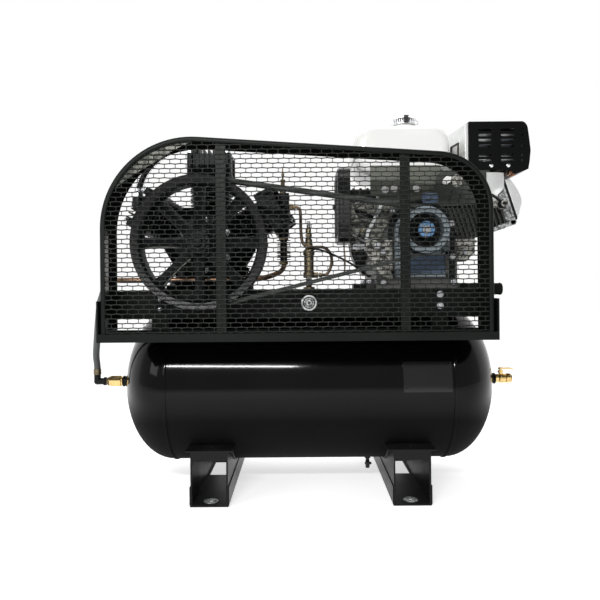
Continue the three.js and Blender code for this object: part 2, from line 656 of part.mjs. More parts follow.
/** Pull ring on top of the safety valve, a cap with an upright ring. */
function safetyValveRing() {
  const z = VALVE_BOSS.top + 2 * GAP + 46;
  const ring = new THREE.TorusGeometry(8, 1.6, 6, 12)
    .rotateX(Math.PI / 2)
    .translate(VALVE_BOSS.x, SIDE_Y, z + 12);
  return join(rod([VALVE_BOSS.x, SIDE_Y, z], [VALVE_BOSS.x, SIDE_Y, z + 5], 4, 8), ring);
}

const PILOT = { x: 248, bottom: -79, top: 50 };

/** Pilot unloader valve: brass body on a pipe nipple from the deck. */
function pilotValve() {
  const floor = PUMP_BASE;
  const profile = [
    [0, floor], [16, floor], [16, floor + 6], [8, floor + 6], [8, PILOT.bottom], [15, PILOT.bottom],
    [15, -8], [9, -4], [9, 20], [6, 24], [6, PILOT.top], [0, PILOT.top],
  ];
  const body = turned(profile, [PILOT.x, SIDE_Y, 0], [0, 0, 1], 12);
  const sideBoss = rod([PILOT.x, SIDE_Y, -72], [PILOT.x + 24, SIDE_Y, -72], 6, 8);
  return join(body, sideBoss);
}

/** Toggle lever on the pilot valve that unloads the pump for starting. */
function pilotLever() {
  const z = PILOT.top + GAP;
  return join(
    rod([PILOT.x, SIDE_Y, z], [PILOT.x, SIDE_Y, z + 8], 5, 8),
    rod([PILOT.x, SIDE_Y - 3, z + 4], [PILOT.x, SIDE_Y - 30, z + 9], 2.2, 6, 3),
  );
}

/** Copper line from the right head round to the pilot valve. */
function unloaderTube() {
  const start = VALVE_BOSS.x + 16 + GAP;
  const fitting = rod([start, SIDE_Y, 102], [start + 14, SIDE_Y, 102], 8, 6);
  const route = [
    [start + 10, SIDE_Y, 102], [start + 22, SIDE_Y, 100], [start + 28, SIDE_Y, 88],
    [start + 29, SIDE_Y - 14, 40],
    [start + 34, SIDE_Y - 24, 8], [start + 52, SIDE_Y - 25, -2], [start + 86, SIDE_Y - 20, -3],
    [start + 104, SIDE_Y - 10, -20], [start + 106, SIDE_Y, -46], [start + 96, SIDE_Y, -68],
    [start + 84, SIDE_Y, -72], [PILOT.x + 24 + 2 * GAP, SIDE_Y, -72],
  ];
  return join(fitting, tube(route, 3.5, 5, 22));
}

/** Hose from the discharge tube down to the elbow at the tank's left end. */
function dischargeHose() {
  const route = [
    [PUMP.x + OUTLET.end - 2 * GAP, OUTLET.y, PUMP.z + OUTLET.z], [-496, OUTLET.y, PUMP.z + OUTLET.z],
    [-504, -157, 518], [-511, -134, 490],
    [-526, -98, 440], [-544, -58, 385], [-560, -20, 335], [ELBOW.x, -2, 308], [ELBOW.x, 0, 296],
    [ELBOW.x, 0, ELBOW.top + 2 * GAP],
  ];
  return tube(route, 8, 8, 14);
}

const leftFilter = [-175, 101];
const rightFilter = [150, 88];
addTo(pumpGroup, 'left_intake_filter', intakeFilter(...leftFilter), blackPlastic);
addTo(pumpGroup, 'right_intake_filter', intakeFilter(...rightFilter), blackPlastic);
addTo(pumpGroup, 'safety_valve', safetyValve(), brass);
addTo(pumpGroup, 'safety_valve_ring', safetyValveRing(), brass);
addTo(pumpGroup, 'pilot_valve', pilotValve(), brass);
addTo(pumpGroup, 'pilot_lever', pilotLever(), zinc);
addTo(pumpGroup, 'unloader_tube', unloaderTube(), copper);
addTo(compressor, 'discharge_hose', dischargeHose(), blackRubber);

// ---------------------------------------------------------------- engine, drawn about its crankshaft
const ENGINE_BASE = DECK.top + GAP - ENGINE.z;
const SLANT = radians(ENGINE.slant);

/** Turns a piece drawn along +X to the slanted cylinder axis. */
const onSlant = (geometry) => geometry.rotateY(-SLANT);

function engineCrankcase() {
  const section = outline([
    [-100, ENGINE_BASE], [92, ENGINE_BASE], [92, -40], [78, 38], [44, 72], [-44, 72], [-70, 40], [-100, -60],
  ]);
  const body = prismY(section, -165, 95);
  const base = block(-118, 110, -120, 80, ENGINE_BASE, ENGINE_BASE + 14);
  const pad = onSlant(block(60, 88, -62, 42, -60, 60));
  const bolts = [-108, 101].flatMap((x) => [-100, 60].map((y) =>
    rod([x, y, ENGINE_BASE + 13], [x, y, ENGINE_BASE + 21], 8, 6)));
  const governor = prismY(outline([[88, -66], [126, -66], [148, -44], [148, -10], [88, -10]]), -118, -75);
  const bore = rod([0, -170, 0], [0, -148, 0], 14.2, 12);
  return cut(join(body, base, pad, governor, ...bolts), bore);
}

/** Arched drive-side cover with a ledge, a lower panel and the seal boss. */
function ptoCover() {
  const arch = new THREE.Shape();
  arch.moveTo(-57, -38);
  arch.lineTo(-57, 0);
  arch.absarc(7, 0, 64, Math.PI, 0, true);
  arch.lineTo(71, -38);
  arch.closePath();
  const back = -165 - GAP;
  const upper = prismY(arch, back - 18, back, 5);
  const lower = block(-30, 60, back - 12, back, -104, -37);
  const leftRib = block(-54, -40, back - 10, back, -104, -37);
  const bridge = block(-45, -25, back - 6, back, -104, -50);
  const recess = rod([0, back - 20, 0], [0, back - 10, 0], 44, 18);
  const boss = rod([0, back - 22, 0], [0, back - 9, 0], 24, 14);
  const bore = rod([0, back - 30, 0], [0, back + 1, 0], 13.8, 12);
  return cut(join(cut(join(upper, lower, leftRib, bridge), recess), boss), bore);
}

/** Finned barrel and head of the slanted cylinder, with the gasket face and the spark plug's boot. */
function engineCylinder() {
  const core = block(88 + GAP, 266, -58, 38, -46, 46);
  const plate = outline([
    [-73, -40], [-55, -58], [35, -58], [53, -40], [53, 48], [35, 66], [-55, 66], [-73, 48],
  ]);
  const fins = Array.from({ length: 7 }, (_, k) => prismX(plate, 104 + 22 * k, 110 + 22 * k));
  const face = prismX(roundedRectangle(-10, 6, 96, 118, 14), 262, 272, 1);
  const boot = turned([[0, -52], [9, -52], [9, -90], [12, -90], [12, -94], [9, -96], [9, -108], [0, -108]],
    [252.5, 0, 13.6], ALONG_Y, 8);
  return onSlant(join(core, ...fins, face, boot));
}

function rockerCover() {
  const dome = outline([
    [272 + GAP, -44], [277, -36], [286, -22], [295, -9], [298, 4], [296, 24], [289, 50], [283, 62],
    [272 + GAP, 62],
  ]);
  return onSlant(prismY(dome, -67, 47, 1));
}

/** Sheet cowl over the cylinder, the seat of the fuel tank, with a skirt over the fins in front. */
function cylinderCowl() {
  const under = (distance) => [
    distance * Math.cos(SLANT) - 70 * Math.sin(SLANT), distance * Math.sin(SLANT) + 70 * Math.cos(SLANT),
  ];
  const section = outline([
    [-76, 73], [18, 73], under(50), under(250), [226, 164], [150, 160], [-52, 160], [-76, 136],
  ]);
  const skirt = outline([
    [78, 159], [78, 117], [129, 115], [170, 98], [205, 70], [214, 70], [219, 82], [221, 106], [236, 120],
    [236, 159],
  ]);
  return join(prismY(section, -56, 88), prismY(skirt, -80, -76.5), block(80, 214, -80, -50, 148, 159));
}

function fanHousing() {
  const shape = new THREE.Shape();
  shape.moveTo(-104, -96);
  shape.absarc(0, 0, 142, radians(-137), radians(25), true);
  shape.lineTo(190, 128);
  shape.lineTo(206, 72);
  shape.lineTo(112, -88);
  shape.closePath();
  return prismY(shape, 95 + GAP, 160, 7);
}

const RECOIL = { front: 160 + GAP, radius: 104, gripX: -126, gripZ: 62, ropeY: 178 };

/** Recoil starter dome with air slots and the rope hole. */
function recoilCover() {
  const { front, radius, ropeY, gripZ } = RECOIL;
  const dome = turned([[0, front], [radius, front], [radius, front + 14], [92, front + 30], [60, front + 40],
    [0, front + 42]], [0, 0, 0], ALONG_Y, 18);
  const slots = Array.from({ length: 8 }, (_, k) => block(44, 80, front + 26, front + 60, -5, 5)
    .rotateY((k * Math.PI) / 4));
  const ropeHole = rod([-radius - 10, ropeY, gripZ], [10, ropeY, gripZ], 4.5, 8);
  return cut(dome, ...slots, ropeHole);
}

/** Starter grip with its rope end, which runs into the recoil cover. */
function recoilGrip() {
  const { gripX: x, ropeY, gripZ } = RECOIL;
  return join(
    rod([x - 1, ropeY, gripZ], [x + 126, ropeY, gripZ], 2.5, 8),
    rod([x, ropeY, gripZ], [x - 16, ropeY, gripZ], 7, 10, 9),
    rod([x - 22, ropeY - 36, gripZ], [x - 22, ropeY + 36, gripZ], 10, 12),
  );
}

const FUEL = { left: -138, right: 107, bottom: 161, top: 289, front: -58, back: 158 };
const FILLER = { x: 3.5, y: 40, neck: 18 };

/** Fuel tank: pressed shell with soft edges, seam flange and filler neck. */
function fuelTank() {
  const { left, right, bottom, top, front, back } = FUEL;
  const [cx, cz] = [(left + right) / 2, (bottom + top) / 2];
  const shell = prismY(roundedRectangle(cx, cz, right - left, top - bottom, 44), front, back, 2, 22);
  const flange = prismZ(roundedRectangle(cx, (front + back) / 2, right - left + 8, back - front + 8, 30),
    cz - 22, cz - 18, 2);
  const neck = rod([FILLER.x, FILLER.y, top - 4], [FILLER.x, FILLER.y, top + FILLER.neck], 30, 20);
  return join(shell, flange, neck);
}

function fuelCap() {
  const z = FUEL.top + FILLER.neck + GAP;
  const body = turned([[0, z], [38, z], [38, z + 14], [32, z + 21], [0, z + 23]],
    [FILLER.x, FILLER.y, 0], [0, 0, 1], 20);
  const grip = block(FILLER.x - 24, FILLER.x + 24, FILLER.y - 5, FILLER.y + 5, z + 20, z + 27);
  return join(body, grip);
}

const MUFFLER = { front: -53, back: 119, bottom: 183, top: 279, right: 280, shieldFront: -74 };

/** Muffler can, its slanted left end plate with a square boss, the shield's bracket and the pipe below. */
function mufflerBody() {
  const { front, back, bottom, top, right, shieldFront } = MUFFLER;
  const [cy, cz] = [(front + back) / 2, (bottom + top) / 2];
  const long = prismX(roundedRectangle(cy, cz, back - front, top - bottom, 34), 100, right, 4);
  const floorPlan = outline([[144, front], [right + 1, front], [right + 1, back], [120, back]]);
  const can = fromSolid(toSolid(long).intersect(toSolid(prismZ(floorPlan, bottom, top))));
  const plate = prismZ(outline([
    [139, -71], [147, -71], [147, -67], [145.5, -67], [122, back + 2], [118, back + 2], [141, -67],
    [139, -67],
  ]), 172, 285);
  const frame = prismZ(outline([[136, -30], [139, -30], [130, 36], [127, 36]]), 204, 252);
  const bracket = block(196, 253, shieldFront + 3 + GAP, 0, 174, 188);
  const pipe = rod([206, -10, 166], [206, -10, 200], 17, 12);
  const flange = block(186, 226, -38, 18, 164.5, 170);
  return join(can, plate, frame, bracket, pipe, flange);
}

/** Slotted heat shield over the front, top, right and underside of the muffler. */
function mufflerShield() {
  const front = MUFFLER.shieldFront;
  const outer = [
    [148, 166], [250, 166], [266, 156], [298, 168.5], [304, 216], [297, 274], [284, 289], [148, 289],
  ];
  const inner = [
    [144, 169], [250.8, 169], [266.3, 159.3], [295.2, 170.5], [301, 216], [294.1, 272.8], [282.6, 286],
    [144, 286],
  ];
  const shell = prismY(outline(outer), front, 96);
  const hollow = prismY(outline(inner), front + 3, 100);
  const rows = [190.4, 203.4, 227, 241.8, 254.8, 268.4];
  const slots = rows.flatMap((z) => [[172, 206], [228.5, 263]].map(([x0, x1]) =>
    block(x0, x1, front - 1, front + 4, z - 3, z + 3)));
  const pipeWindow = block(180, 232, -44, 97, 160, 172);
  return cut(shell, hollow, ...slots, pipeWindow);
}

/** Air cleaner: upright black case with a wing nut boss. */
function airCleaner() {
  const case_ = prismX(roundedRectangle(8, 84.5, 150, 194, 24), -184, -152, 2, 8);
  const boss = rod([-182, 8, 84.5], [-194, 8, 84.5], 8, 8);
  return join(case_, boss);
}

/** Carburettor with its elbow from the air cleaner to the crankcase side. */
function carburettor() {
  const flange = block(-151.5, -146, -20, 34, -2, 60);
  const barrel = rod([-147, 6, 28], [-104, 6, 28], 19, 14);
  const bowl = rod([-126, 6, 24], [-126, 6, -26], 21, 14);
  const stub = prismY(outline([[-108, 6], [-80.8, 6], [-71.8, 36], [-108, 36]]), -16, 30);
  return join(flange, barrel, bowl, stub);
}

/** Choke lever on the front of the carburettor. */
function chokeLever() {
  const y = -13.5;
  return join(
    rod([-118, y, 40], [-118, y - 6, 40], 6, 8),
    block(-121, -115, y - 6, y - 3, 40, 76),
    rod([-118, y - 9, 76], [-118, y - 1, 76], 7, 8),
  );
}

function engineSwitch() {
  const y = 160 + GAP;
  return join(
    rod([132, y, 60], [132, y + 8, 60], 13, 12),
    block(129, 135, y + 7, y + 15, 48, 72),
  );
}

/** Control cable from the pilot valve to the engine's speed lever. */
function throttleCable() {
  const [x, z] = [PUMP.x + PILOT.x, PUMP.z];
  const route = [
    [x + 3, SIDE_Y - 17, z - 14], [x + 16, -100, z - 8], [x + 50, -101, z - 18], [x + 100, -96, z - 42],
    [x + 135, -86, z - 66], [ENGINE.x - 110, -80, z - 76], [ENGINE.x - 103, -80, z - 76],
  ];
  return tube(route, 2.5, 5, 12);
}

addTo(engineGroup, 'engine_crankcase', engineCrankcase(), castAluminium);
addTo(engineGroup, 'pto_cover', ptoCover(), blueAluminium);
addTo(engineGroup, 'engine_cylinder', engineCylinder(), blackIron);
addTo(engineGroup, 'rocker_cover', rockerCover(), castAluminium);
addTo(engineGroup, 'cylinder_cowl', cylinderCowl(), castAluminium);
addTo(engineGroup, 'fan_housing', fanHousing(), blackPlastic);
addTo(engineGroup, 'recoil_cover', recoilCover(), blackPlastic);
addTo(engineGroup, 'recoil_grip', recoilGrip(), blackPlastic);
addTo(engineGroup, 'fuel_tank', fuelTank(), creamPaint);
addTo(engineGroup, 'fuel_cap', fuelCap(), zinc);
addTo(engineGroup, 'muffler_body', mufflerBody(), zinc);
addTo(engineGroup, 'muffler_shield', mufflerShield(), blackSatin);
addTo(engineGroup, 'air_cleaner', airCleaner(), blackPlastic);
addTo(engineGroup, 'carburettor', carburettor(), castAluminium);
addTo(engineGroup, 'choke_lever', chokeLever(), zinc);
addTo(engineGroup, 'engine_switch', engineSwitch(), redPlastic);
addTo(compressor, 'throttle_cable', throttleCable(), blackRubber);

// Stand the assembly on the floor with its bounding box centred over the origin.
compressor.updateMatrixWorld(true);
const bounds = new THREE.Box3().setFromObject(compressor, true);
const middle = bounds.getCenter(new THREE.Vector3());
compressor.position.set(-middle.x, -middle.y, -bounds.min.z);

export default compressor;
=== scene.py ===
"""Looks of the engine-driven air compressor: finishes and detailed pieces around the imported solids.

Pieces are drawn in millimetres from the floor under the tank's middle: +X to the engine end,
+Y away from the belt guard, +Z up. Solid.make turns them into metres in the frame's own place.
"""

import json
import math
from itertools import product

import bmesh
import bpy
from mathutils import Matrix, Vector
from mathutils.geometry import tessellate_polygon


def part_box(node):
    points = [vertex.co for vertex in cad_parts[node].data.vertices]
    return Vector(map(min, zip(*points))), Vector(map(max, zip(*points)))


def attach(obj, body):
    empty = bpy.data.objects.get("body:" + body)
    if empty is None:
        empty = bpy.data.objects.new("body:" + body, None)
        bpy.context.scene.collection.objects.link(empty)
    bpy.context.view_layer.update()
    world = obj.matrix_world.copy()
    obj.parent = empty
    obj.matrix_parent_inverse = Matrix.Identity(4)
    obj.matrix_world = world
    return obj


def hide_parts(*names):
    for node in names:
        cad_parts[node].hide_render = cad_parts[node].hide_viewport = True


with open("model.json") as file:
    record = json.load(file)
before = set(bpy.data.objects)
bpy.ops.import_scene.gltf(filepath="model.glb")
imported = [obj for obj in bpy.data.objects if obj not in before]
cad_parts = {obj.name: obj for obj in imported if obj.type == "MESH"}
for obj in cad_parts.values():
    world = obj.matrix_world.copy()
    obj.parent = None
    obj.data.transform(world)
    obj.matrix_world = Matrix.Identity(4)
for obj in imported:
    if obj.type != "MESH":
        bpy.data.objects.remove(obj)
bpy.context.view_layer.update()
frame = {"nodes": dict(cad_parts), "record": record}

X, Y, Z = Vector((1, 0, 0)), Vector((0, 1, 0)), Vector((0, 0, 1))
MM = 0.001
TANK_X = -3
shell_low, shell_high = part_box("tank_shell")
ORIGIN = Vector(((shell_low.x + shell_high.x) / 2 - TANK_X * MM, (shell_low.y + shell_high.y) / 2, 0))

# ---------------------------------------------------------------- driving dimensions
TANK_RADIUS, TANK_AXIS, SEAM, FLANGE, HEAD_DEPTH, WALL = 198, 262, 340, 5, 126, 4
TANK_TIP = SEAM + FLANGE + HEAD_DEPTH
BUNG_END = TANK_TIP + 21
FOOT_X, FOOT_SLOT_Y, SHELF_Z = 235.5, 174, 126
DECK_TOP = 501
PUMP_X, PUMP_Z, PUMP_TILT, CYLINDER_Y, SIDE_Y = -250, 610, 60, -45, -60
ENGINE_X, ENGINE_Z, ENGINE_SLANT = 257, 634, 18
DRIVE_Y, FLYWHEEL, PULLEY, GROOVE_STEP = -235, 152, 54, 22
GUARD_LEFT, GUARD_RIGHT, GUARD_BOTTOM, GUARD_FRONT, GUARD_BACK = -459, 398, 394.3, -290, -175
GUARD_SHEET, GUARD_LIP, GUARD_SLOPE = 3, 11, math.radians(3.8)
LEFT_ARC, RIGHT_ARC, LEFT_ARC_Z = 200, 124, 638
MESH_WIDTH, MESH_ROW, STRAND, BOND = 23.6, 10.2, 1.25, 1.15
SIDE_HEAD_TOP, CENTRE_HEAD_TOP, HEAD_HALF, HEAD_BOLT = 214, 244, 57, 46
PAD, BARREL_TOP = 92, 158
AFTERCOOLER_X, DISCHARGE_Y, DISCHARGE_Z = 184, -162, -83
HOSE_X, HOSE_END_Z = -564, 284
DISH = 40
CASE_FRONT = -164
CASE_BOLTS = ((-84, -44), (-62, 52), (80, -56), (78, 22), (-84, -116), (82, -116))
COVER_SCREWS = ((-50, -18), (64, -18), (-38, 40), (52, 40), (7, 58))
SIDES = (("left", -1), ("right", 1))

# Drawing spaces: the tank's, the pump's and the engine's about their crankshafts, and the engine's
# turned so that +X runs along its cylinder.
TANK = Matrix.Translation((TANK_X, 0, 0))
PUMP = Matrix.Translation((PUMP_X, 0, PUMP_Z))
ENGINE = Matrix.Translation((ENGINE_X, 0, ENGINE_Z))
SLANTED = ENGINE @ Matrix.Rotation(math.radians(-ENGINE_SLANT), 4, Y)

# ---------------------------------------------------------------- camera
CAMERA_PLACE, CAMERA_ROLL, CAMERA_SHIFT = Vector((-20, -1591, 513)), math.radians(0.45), (-0.0033, -0.025)
camera_data = bpy.data.cameras.new("camera")
camera_data.lens = camera_data.sensor_width = 36
camera_data.shift_x, camera_data.shift_y = CAMERA_SHIFT
camera = bpy.data.objects.new("camera", camera_data)
camera.location = CAMERA_PLACE * MM + ORIGIN
camera.rotation_euler = (math.radians(90), CAMERA_ROLL, 0)
bpy.context.collection.objects.link(camera)
bpy.context.scene.camera = camera
bpy.context.scene.view_settings.view_transform = "Standard"


# ---------------------------------------------------------------- finishes
FINISHES = {}


class Field:
    """A socket's output, so that shader maths reads as an expression."""

    def __init__(self, finish, socket):
        self.finish, self.socket = finish, socket

    def maths(self, operation, *values):
        return self.finish.node("ShaderNodeMath", {"operation": operation}, dict(enumerate(values)))

    def __add__(self, other):
        return self.maths("ADD", self, other)

    def __sub__(self, other):
        return self.maths("SUBTRACT", self, other)

    def __rsub__(self, other):
        return self.maths("SUBTRACT", other, self)

    def __mul__(self, other):
        return self.maths("MULTIPLY", self, other)

    def spread(self, low, high, start=0.0, end=1.0):
        """Maps low..high onto start..end, held at the ends."""
        values = dict(enumerate((self, low, high, start, end)))
        return self.finish.node("ShaderNodeMapRange", {"clamp": True}, values)


class Finish:
    """The nodes of a material, or of the world. Every node comes from the one method below."""

    def __init__(self, name, owner=bpy.data.materials):
        self.name, self.material = name, owner.new(name)
        self.material.use_nodes = True
        self.nodes = self.material.node_tree.nodes
        self.links = self.material.node_tree.links
        self.nodes.clear()
        self.place = self.node("ShaderNodeTexCoord", output="Object")

    def node(self, kind, settings=None, inputs=None, output=0):
        node = self.nodes.new(kind)
        for key, value in (settings or {}).items():
            setattr(node, key, value)
        for key, value in (inputs or {}).items():
            if isinstance(value, Field):
                self.links.new(value.socket, node.inputs[key])
            else:
                node.inputs[key].default_value = value
        return Field(self, node.outputs[output]) if node.outputs else None

    def noise(self, scale, detail=3, roughness=0.55, place=None):
        """Noise with about so many patches to the metre."""
        inputs = {"Vector": place or self.place, "Scale": scale, "Detail": detail, "Roughness": roughness}
        return self.node("ShaderNodeTexNoise", None, inputs)

    def cells(self, scale):
        return self.node("ShaderNodeTexVoronoi", None, {"Vector": self.place, "Scale": scale})

    def stretched(self, x, y, z):
        """Place for a noise that has its own number of patches to the metre along each axis."""
        return self.node("ShaderNodeMapping", None, {"Vector": self.place, "Scale": (x, y, z)})

    def mix(self, factor, first, second):
        """Blends two colours, each an (r, g, b) or a Field."""
        values = [value if isinstance(value, Field) else (*value, 1) for value in (first, second)]
        inputs = {0: factor, 6: values[0], 7: values[1]}
        return self.node("ShaderNodeMix", {"data_type": "RGBA"}, inputs, output=2)

    def bump(self, height, distance_mm):
        inputs = {"Height": height, "Distance": distance_mm * MM, "Strength": 1.0}
        return self.node("ShaderNodeBump", None, inputs)

    def surface(self, **inputs):
        """Ends a material in one Principled shader; names are its sockets' with underscores for spaces."""
        values = {key.replace("_", " "): value for key, value in inputs.items()}
        shader = self.node("ShaderNodeBsdfPrincipled", None, values)
        self.node("ShaderNodeOutputMaterial", None, {"Surface": shader})
        FINISHES[self.name] = self.material
        return self.material

    def slope(self, low, high):
        """0 to 1 as a face's normal rises from low to high, where 1 looks up and -1 looks down."""
        normal = self.node("ShaderNodeNewGeometry", output="Normal")
        return self.node("ShaderNodeSeparateXYZ", None, {0: normal}, output=2).spread(low, high)


DUST = (0.30, 0.30, 0.28)


def paler(colour, gain=1.4, lift=0.001):
    return tuple(min(1, gain * c + lift) for c in colour)


def painted(name, colour, roughness, peel=0.03, dust=0.12, coat=0.0, shine=0.5, dull_belly=0.0):
    """Sprayed paint: orange peel, faint drift, dust on what looks up and a dull skin on what looks down."""
    finish = Finish(name)
    drift = finish.noise(7, 4)
    specks = finish.noise(420, 2).spread(0.6, 0.75)
    settled = finish.slope(0.55, 0.95) * drift.spread(0.35, 0.7) * dust + specks * (dust * 0.3)
    wear_and_highlight = finish.mix(drift.spread(0.3, 0.7), colour, paler(colour, 1.5))
    base = finish.mix(settled, wear_and_highlight, DUST)
    peel_height = finish.noise(900, 1)
    finish.surface(
        Base_Color=base,
        Roughness=drift.spread(0.2, 0.8, roughness * 0.85, roughness * 1.15) + settled * 0.4
        + finish.slope(0.0, -0.35) * dull_belly,
        Coat_Weight=coat, Coat_Roughness=0.05, Specular_IOR_Level=shine,
        Normal=finish.bump(peel_height, peel),
    )


def cast(name, colour, roughness, metallic=0.0, grain=0.25, grime=0.35, shine=0.5):
    """Sand casting: pebbled skin, with grime in its hollows."""
    finish = Finish(name)
    pebbles = finish.noise(520, 3, 0.6)
    patches = finish.noise(18, 4)
    dirty = (1 - pebbles.spread(0.35, 0.6)) * patches.spread(0.4, 0.7) * grime
    grimy = tuple(0.12 * c + 0.003 for c in colour)
    clean = finish.mix(patches.spread(0.3, 0.7), colour, paler(colour))
    base = finish.mix(dirty, clean, grimy)
    finish.surface(
        Base_Color=base, Metallic=metallic, Specular_IOR_Level=shine,
        Roughness=patches.spread(0.2, 0.8, roughness * 0.85, roughness * 1.2),
        Normal=finish.bump(pebbles, grain),
    )


def mottled(name, light, dark, scale):
    """Oily, uneven casting: pale and dark patches a few millimetres wide."""
    finish = Finish(name)
    patches = finish.noise(scale, 4, 0.65)
    base = finish.mix(patches.spread(0.44, 0.58), light, dark)
    finish.surface(
        Base_Color=base, Metallic=0.25, Roughness=patches.spread(0.3, 0.7, 0.3, 0.6),
        Normal=finish.bump(patches, 1.2),
    )


def bare_metal(name, colour, roughness, lines=(40, 40, 900), tarnish=0.25, tarnish_colour=(0.12, 0.1, 0.07)):
    """Machined or plated metal: fine tool lines and a little tarnish."""
    finish = Finish(name)
    tooling = finish.noise(1, 2, place=finish.stretched(*lines))
    stains = finish.noise(60, 4)
    base = finish.mix(stains.spread(0.5, 0.75) * tarnish, colour, tarnish_colour)
    finish.surface(
        Base_Color=base, Metallic=1.0,
        Roughness=tooling.spread(0.3, 0.7, roughness * 0.8, roughness * 1.25)
        + stains.spread(0.5, 0.8) * 0.15,
        Normal=finish.bump(tooling, 0.02),
    )


def moulded(name, colour, roughness, grain=0.06, scuffs_and_sheen=0.1, shine=0.5):
    """Rubber or plastic: matt grain and pale scuffs."""
    finish = Finish(name)
    leather = finish.cells(700)
    patches = finish.noise(14, 4)
    scuffed = finish.noise(1, 3, place=finish.stretched(260, 260, 40)).spread(0.62, 0.75) * scuffs_and_sheen
    clean = finish.mix(patches.spread(0.3, 0.7), colour, paler(colour, lift=0.002))
    base = finish.mix(scuffed, clean, (0.35, 0.35, 0.34))
    finish.surface(
        Base_Color=base, Specular_IOR_Level=shine,
        Roughness=patches.spread(0.2, 0.8, roughness * 0.9, roughness * 1.1) + scuffed * 0.3,
        Normal=finish.bump(leather, grain),
    )


painted("tank_enamel", (0.001, 0.001, 0.0012), 0.09, peel=0.008, dust=0.002, shine=0.16, dull_belly=0.8)
painted("frame_paint", (0.004, 0.0055, 0.0045), 0.4, peel=0.05, dust=0.05, shine=0.14)
painted("foot_paint", (0.004, 0.004, 0.004), 0.4, peel=0.04, dust=0.04, shine=0.18)
moulded("dull_black", (0.03, 0.03, 0.03), 0.6, scuffs_and_sheen=0.2)
painted("heat_shield_paint", (0.001, 0.0012, 0.0012), 0.4, dust=0.0, shine=0.12)
painted("guard_mesh_paint", (0.012, 0.014, 0.012), 0.45, peel=0.05, dust=0.12, shine=0.25)
cast("painted_iron", (0.003, 0.0035, 0.004), 0.4, grain=0.3, grime=0.3, shine=0.15)
painted("fin_paint", (0.028, 0.031, 0.026), 0.45, peel=0.1, dust=0.3)
moulded("black_plastic", (0.008, 0.008, 0.008), 0.42)
moulded("black_rubber", (0.005, 0.006, 0.006), 0.6, grain=0.1, scuffs_and_sheen=0.12, shine=0.2)
# Pale grey for the patch on the hoop's inner sheet: painted sheen.
painted("painted_sheen_grey", (0.28, 0.28, 0.26), 0.3, peel=0.1, dust=0.1)
moulded("hose_rubber", (0.055, 0.06, 0.06), 0.5, grain=0.1, scuffs_and_sheen=0.2)
moulded("belt_cloth", (0.045, 0.049, 0.046), 0.8, grain=0.12, scuffs_and_sheen=0.35)
bare_metal("brass", (0.80, 0.58, 0.24), 0.24)
bare_metal("old_brass", (0.26, 0.21, 0.13), 0.4, tarnish=0.7)
bare_metal("copper", (0.50, 0.26, 0.15), 0.36, tarnish=0.5)
bare_metal("old_copper", (0.20, 0.14, 0.09), 0.42, tarnish=0.7, tarnish_colour=(0.05, 0.045, 0.035))
bare_metal("rusty_copper", (0.36, 0.22, 0.14), 0.4, tarnish=0.6)
cast("painted_fins", (0.020, 0.016, 0.012), 0.45, metallic=0.3)
cast("burnt_pipe", (0.035, 0.026, 0.02), 0.6, metallic=0.3)
bare_metal("chrome", (0.86, 0.87, 0.88), 0.1, tarnish=0.05)
bare_metal("zinc_plate", (0.68, 0.70, 0.72), 0.3, tarnish=0.2, tarnish_colour=(0.3, 0.28, 0.22))
bare_metal("ground_steel", (0.60, 0.61, 0.62), 0.25, lines=(900, 60, 60))
bare_metal("aluminised_plate", (0.86, 0.87, 0.86), 0.34, lines=(50, 50, 500), tarnish=0.12)
cast("grimy_casting", (0.10, 0.10, 0.095), 0.5, metallic=0.6, grain=0.3, grime=0.9)
# Dark olive grey sheet, darkened for the shade behind the guard: painted shade.
painted("grey_sheet_painted_shade", (0.105, 0.11, 0.09), 0.4, dust=0.1)
# Near-black paint with no sheen: painted shade inside the hoop, also worn by the buffer.
painted("painted_shade_black", (0.008, 0.009, 0.008), 0.8, dust=0.05, shine=0.0)
# Pale grey of the strips on two flywheel spokes: painted highlight.
cast("painted_highlight_iron", (0.10, 0.10, 0.09), 0.45, metallic=0.15, grain=0.2, grime=0.5)
painted("wheel_enamel", (0.003, 0.003, 0.003), 0.34, peel=0.2, dust=0.0, shine=0.3)
cast("pump_enamel", (0.004, 0.005, 0.005), 0.6, grain=0.3, grime=0.3, shine=0.0)
# Pale and dark mottle of the crescent inside the hoop's upper left: painted light on the inner sheet.
mottled("painted_lit_sheet", (0.095, 0.097, 0.078), (0.03, 0.032, 0.026), 60)
mottled("clean_casting", (0.58, 0.60, 0.59), (0.16, 0.17, 0.17), 120)
mottled("oily_casting", (0.50, 0.49, 0.44), (0.02, 0.02, 0.018), 95)
mottled("shaded_casting", (0.20, 0.20, 0.17), (0.008, 0.008, 0.007), 80)
bare_metal("heat_tinted_plate", (0.16, 0.18, 0.20), 0.4, tarnish=0.4)
# Blue-grey: painted shade and bluish reflection on bare aluminium, on the PTO cover and the pulley's face.
cast("blue_grey_painted_reflection", (0.185, 0.22, 0.24), 0.5, metallic=0.25, grain=0.2, grime=0.5)
# Slate blue, darker than the cover: painted shade and bluish reflection on bare aluminium.
cast("slate_blue_painted_shade", (0.062, 0.095, 0.155), 0.5, metallic=0.1, grain=0.1, grime=0.3)
cast("blue_hub_paint", (0.11, 0.24, 0.44), 0.4, metallic=0.2, grain=0.1, grime=0.2)
# Cream paint of the fuel tank and the lug; on the cowl's zinc bolts it is a painted glint.
painted("cream_paint", (0.93, 0.93, 0.885), 0.24, peel=0.03, dust=0.05, coat=0.5)
moulded("red_plastic", (0.40, 0.03, 0.02), 0.4, scuffs_and_sheen=0.05)
painted("bare_plate", (0.003, 0.003, 0.0035), 0.14, peel=0.02, dust=0.02, shine=0.4)


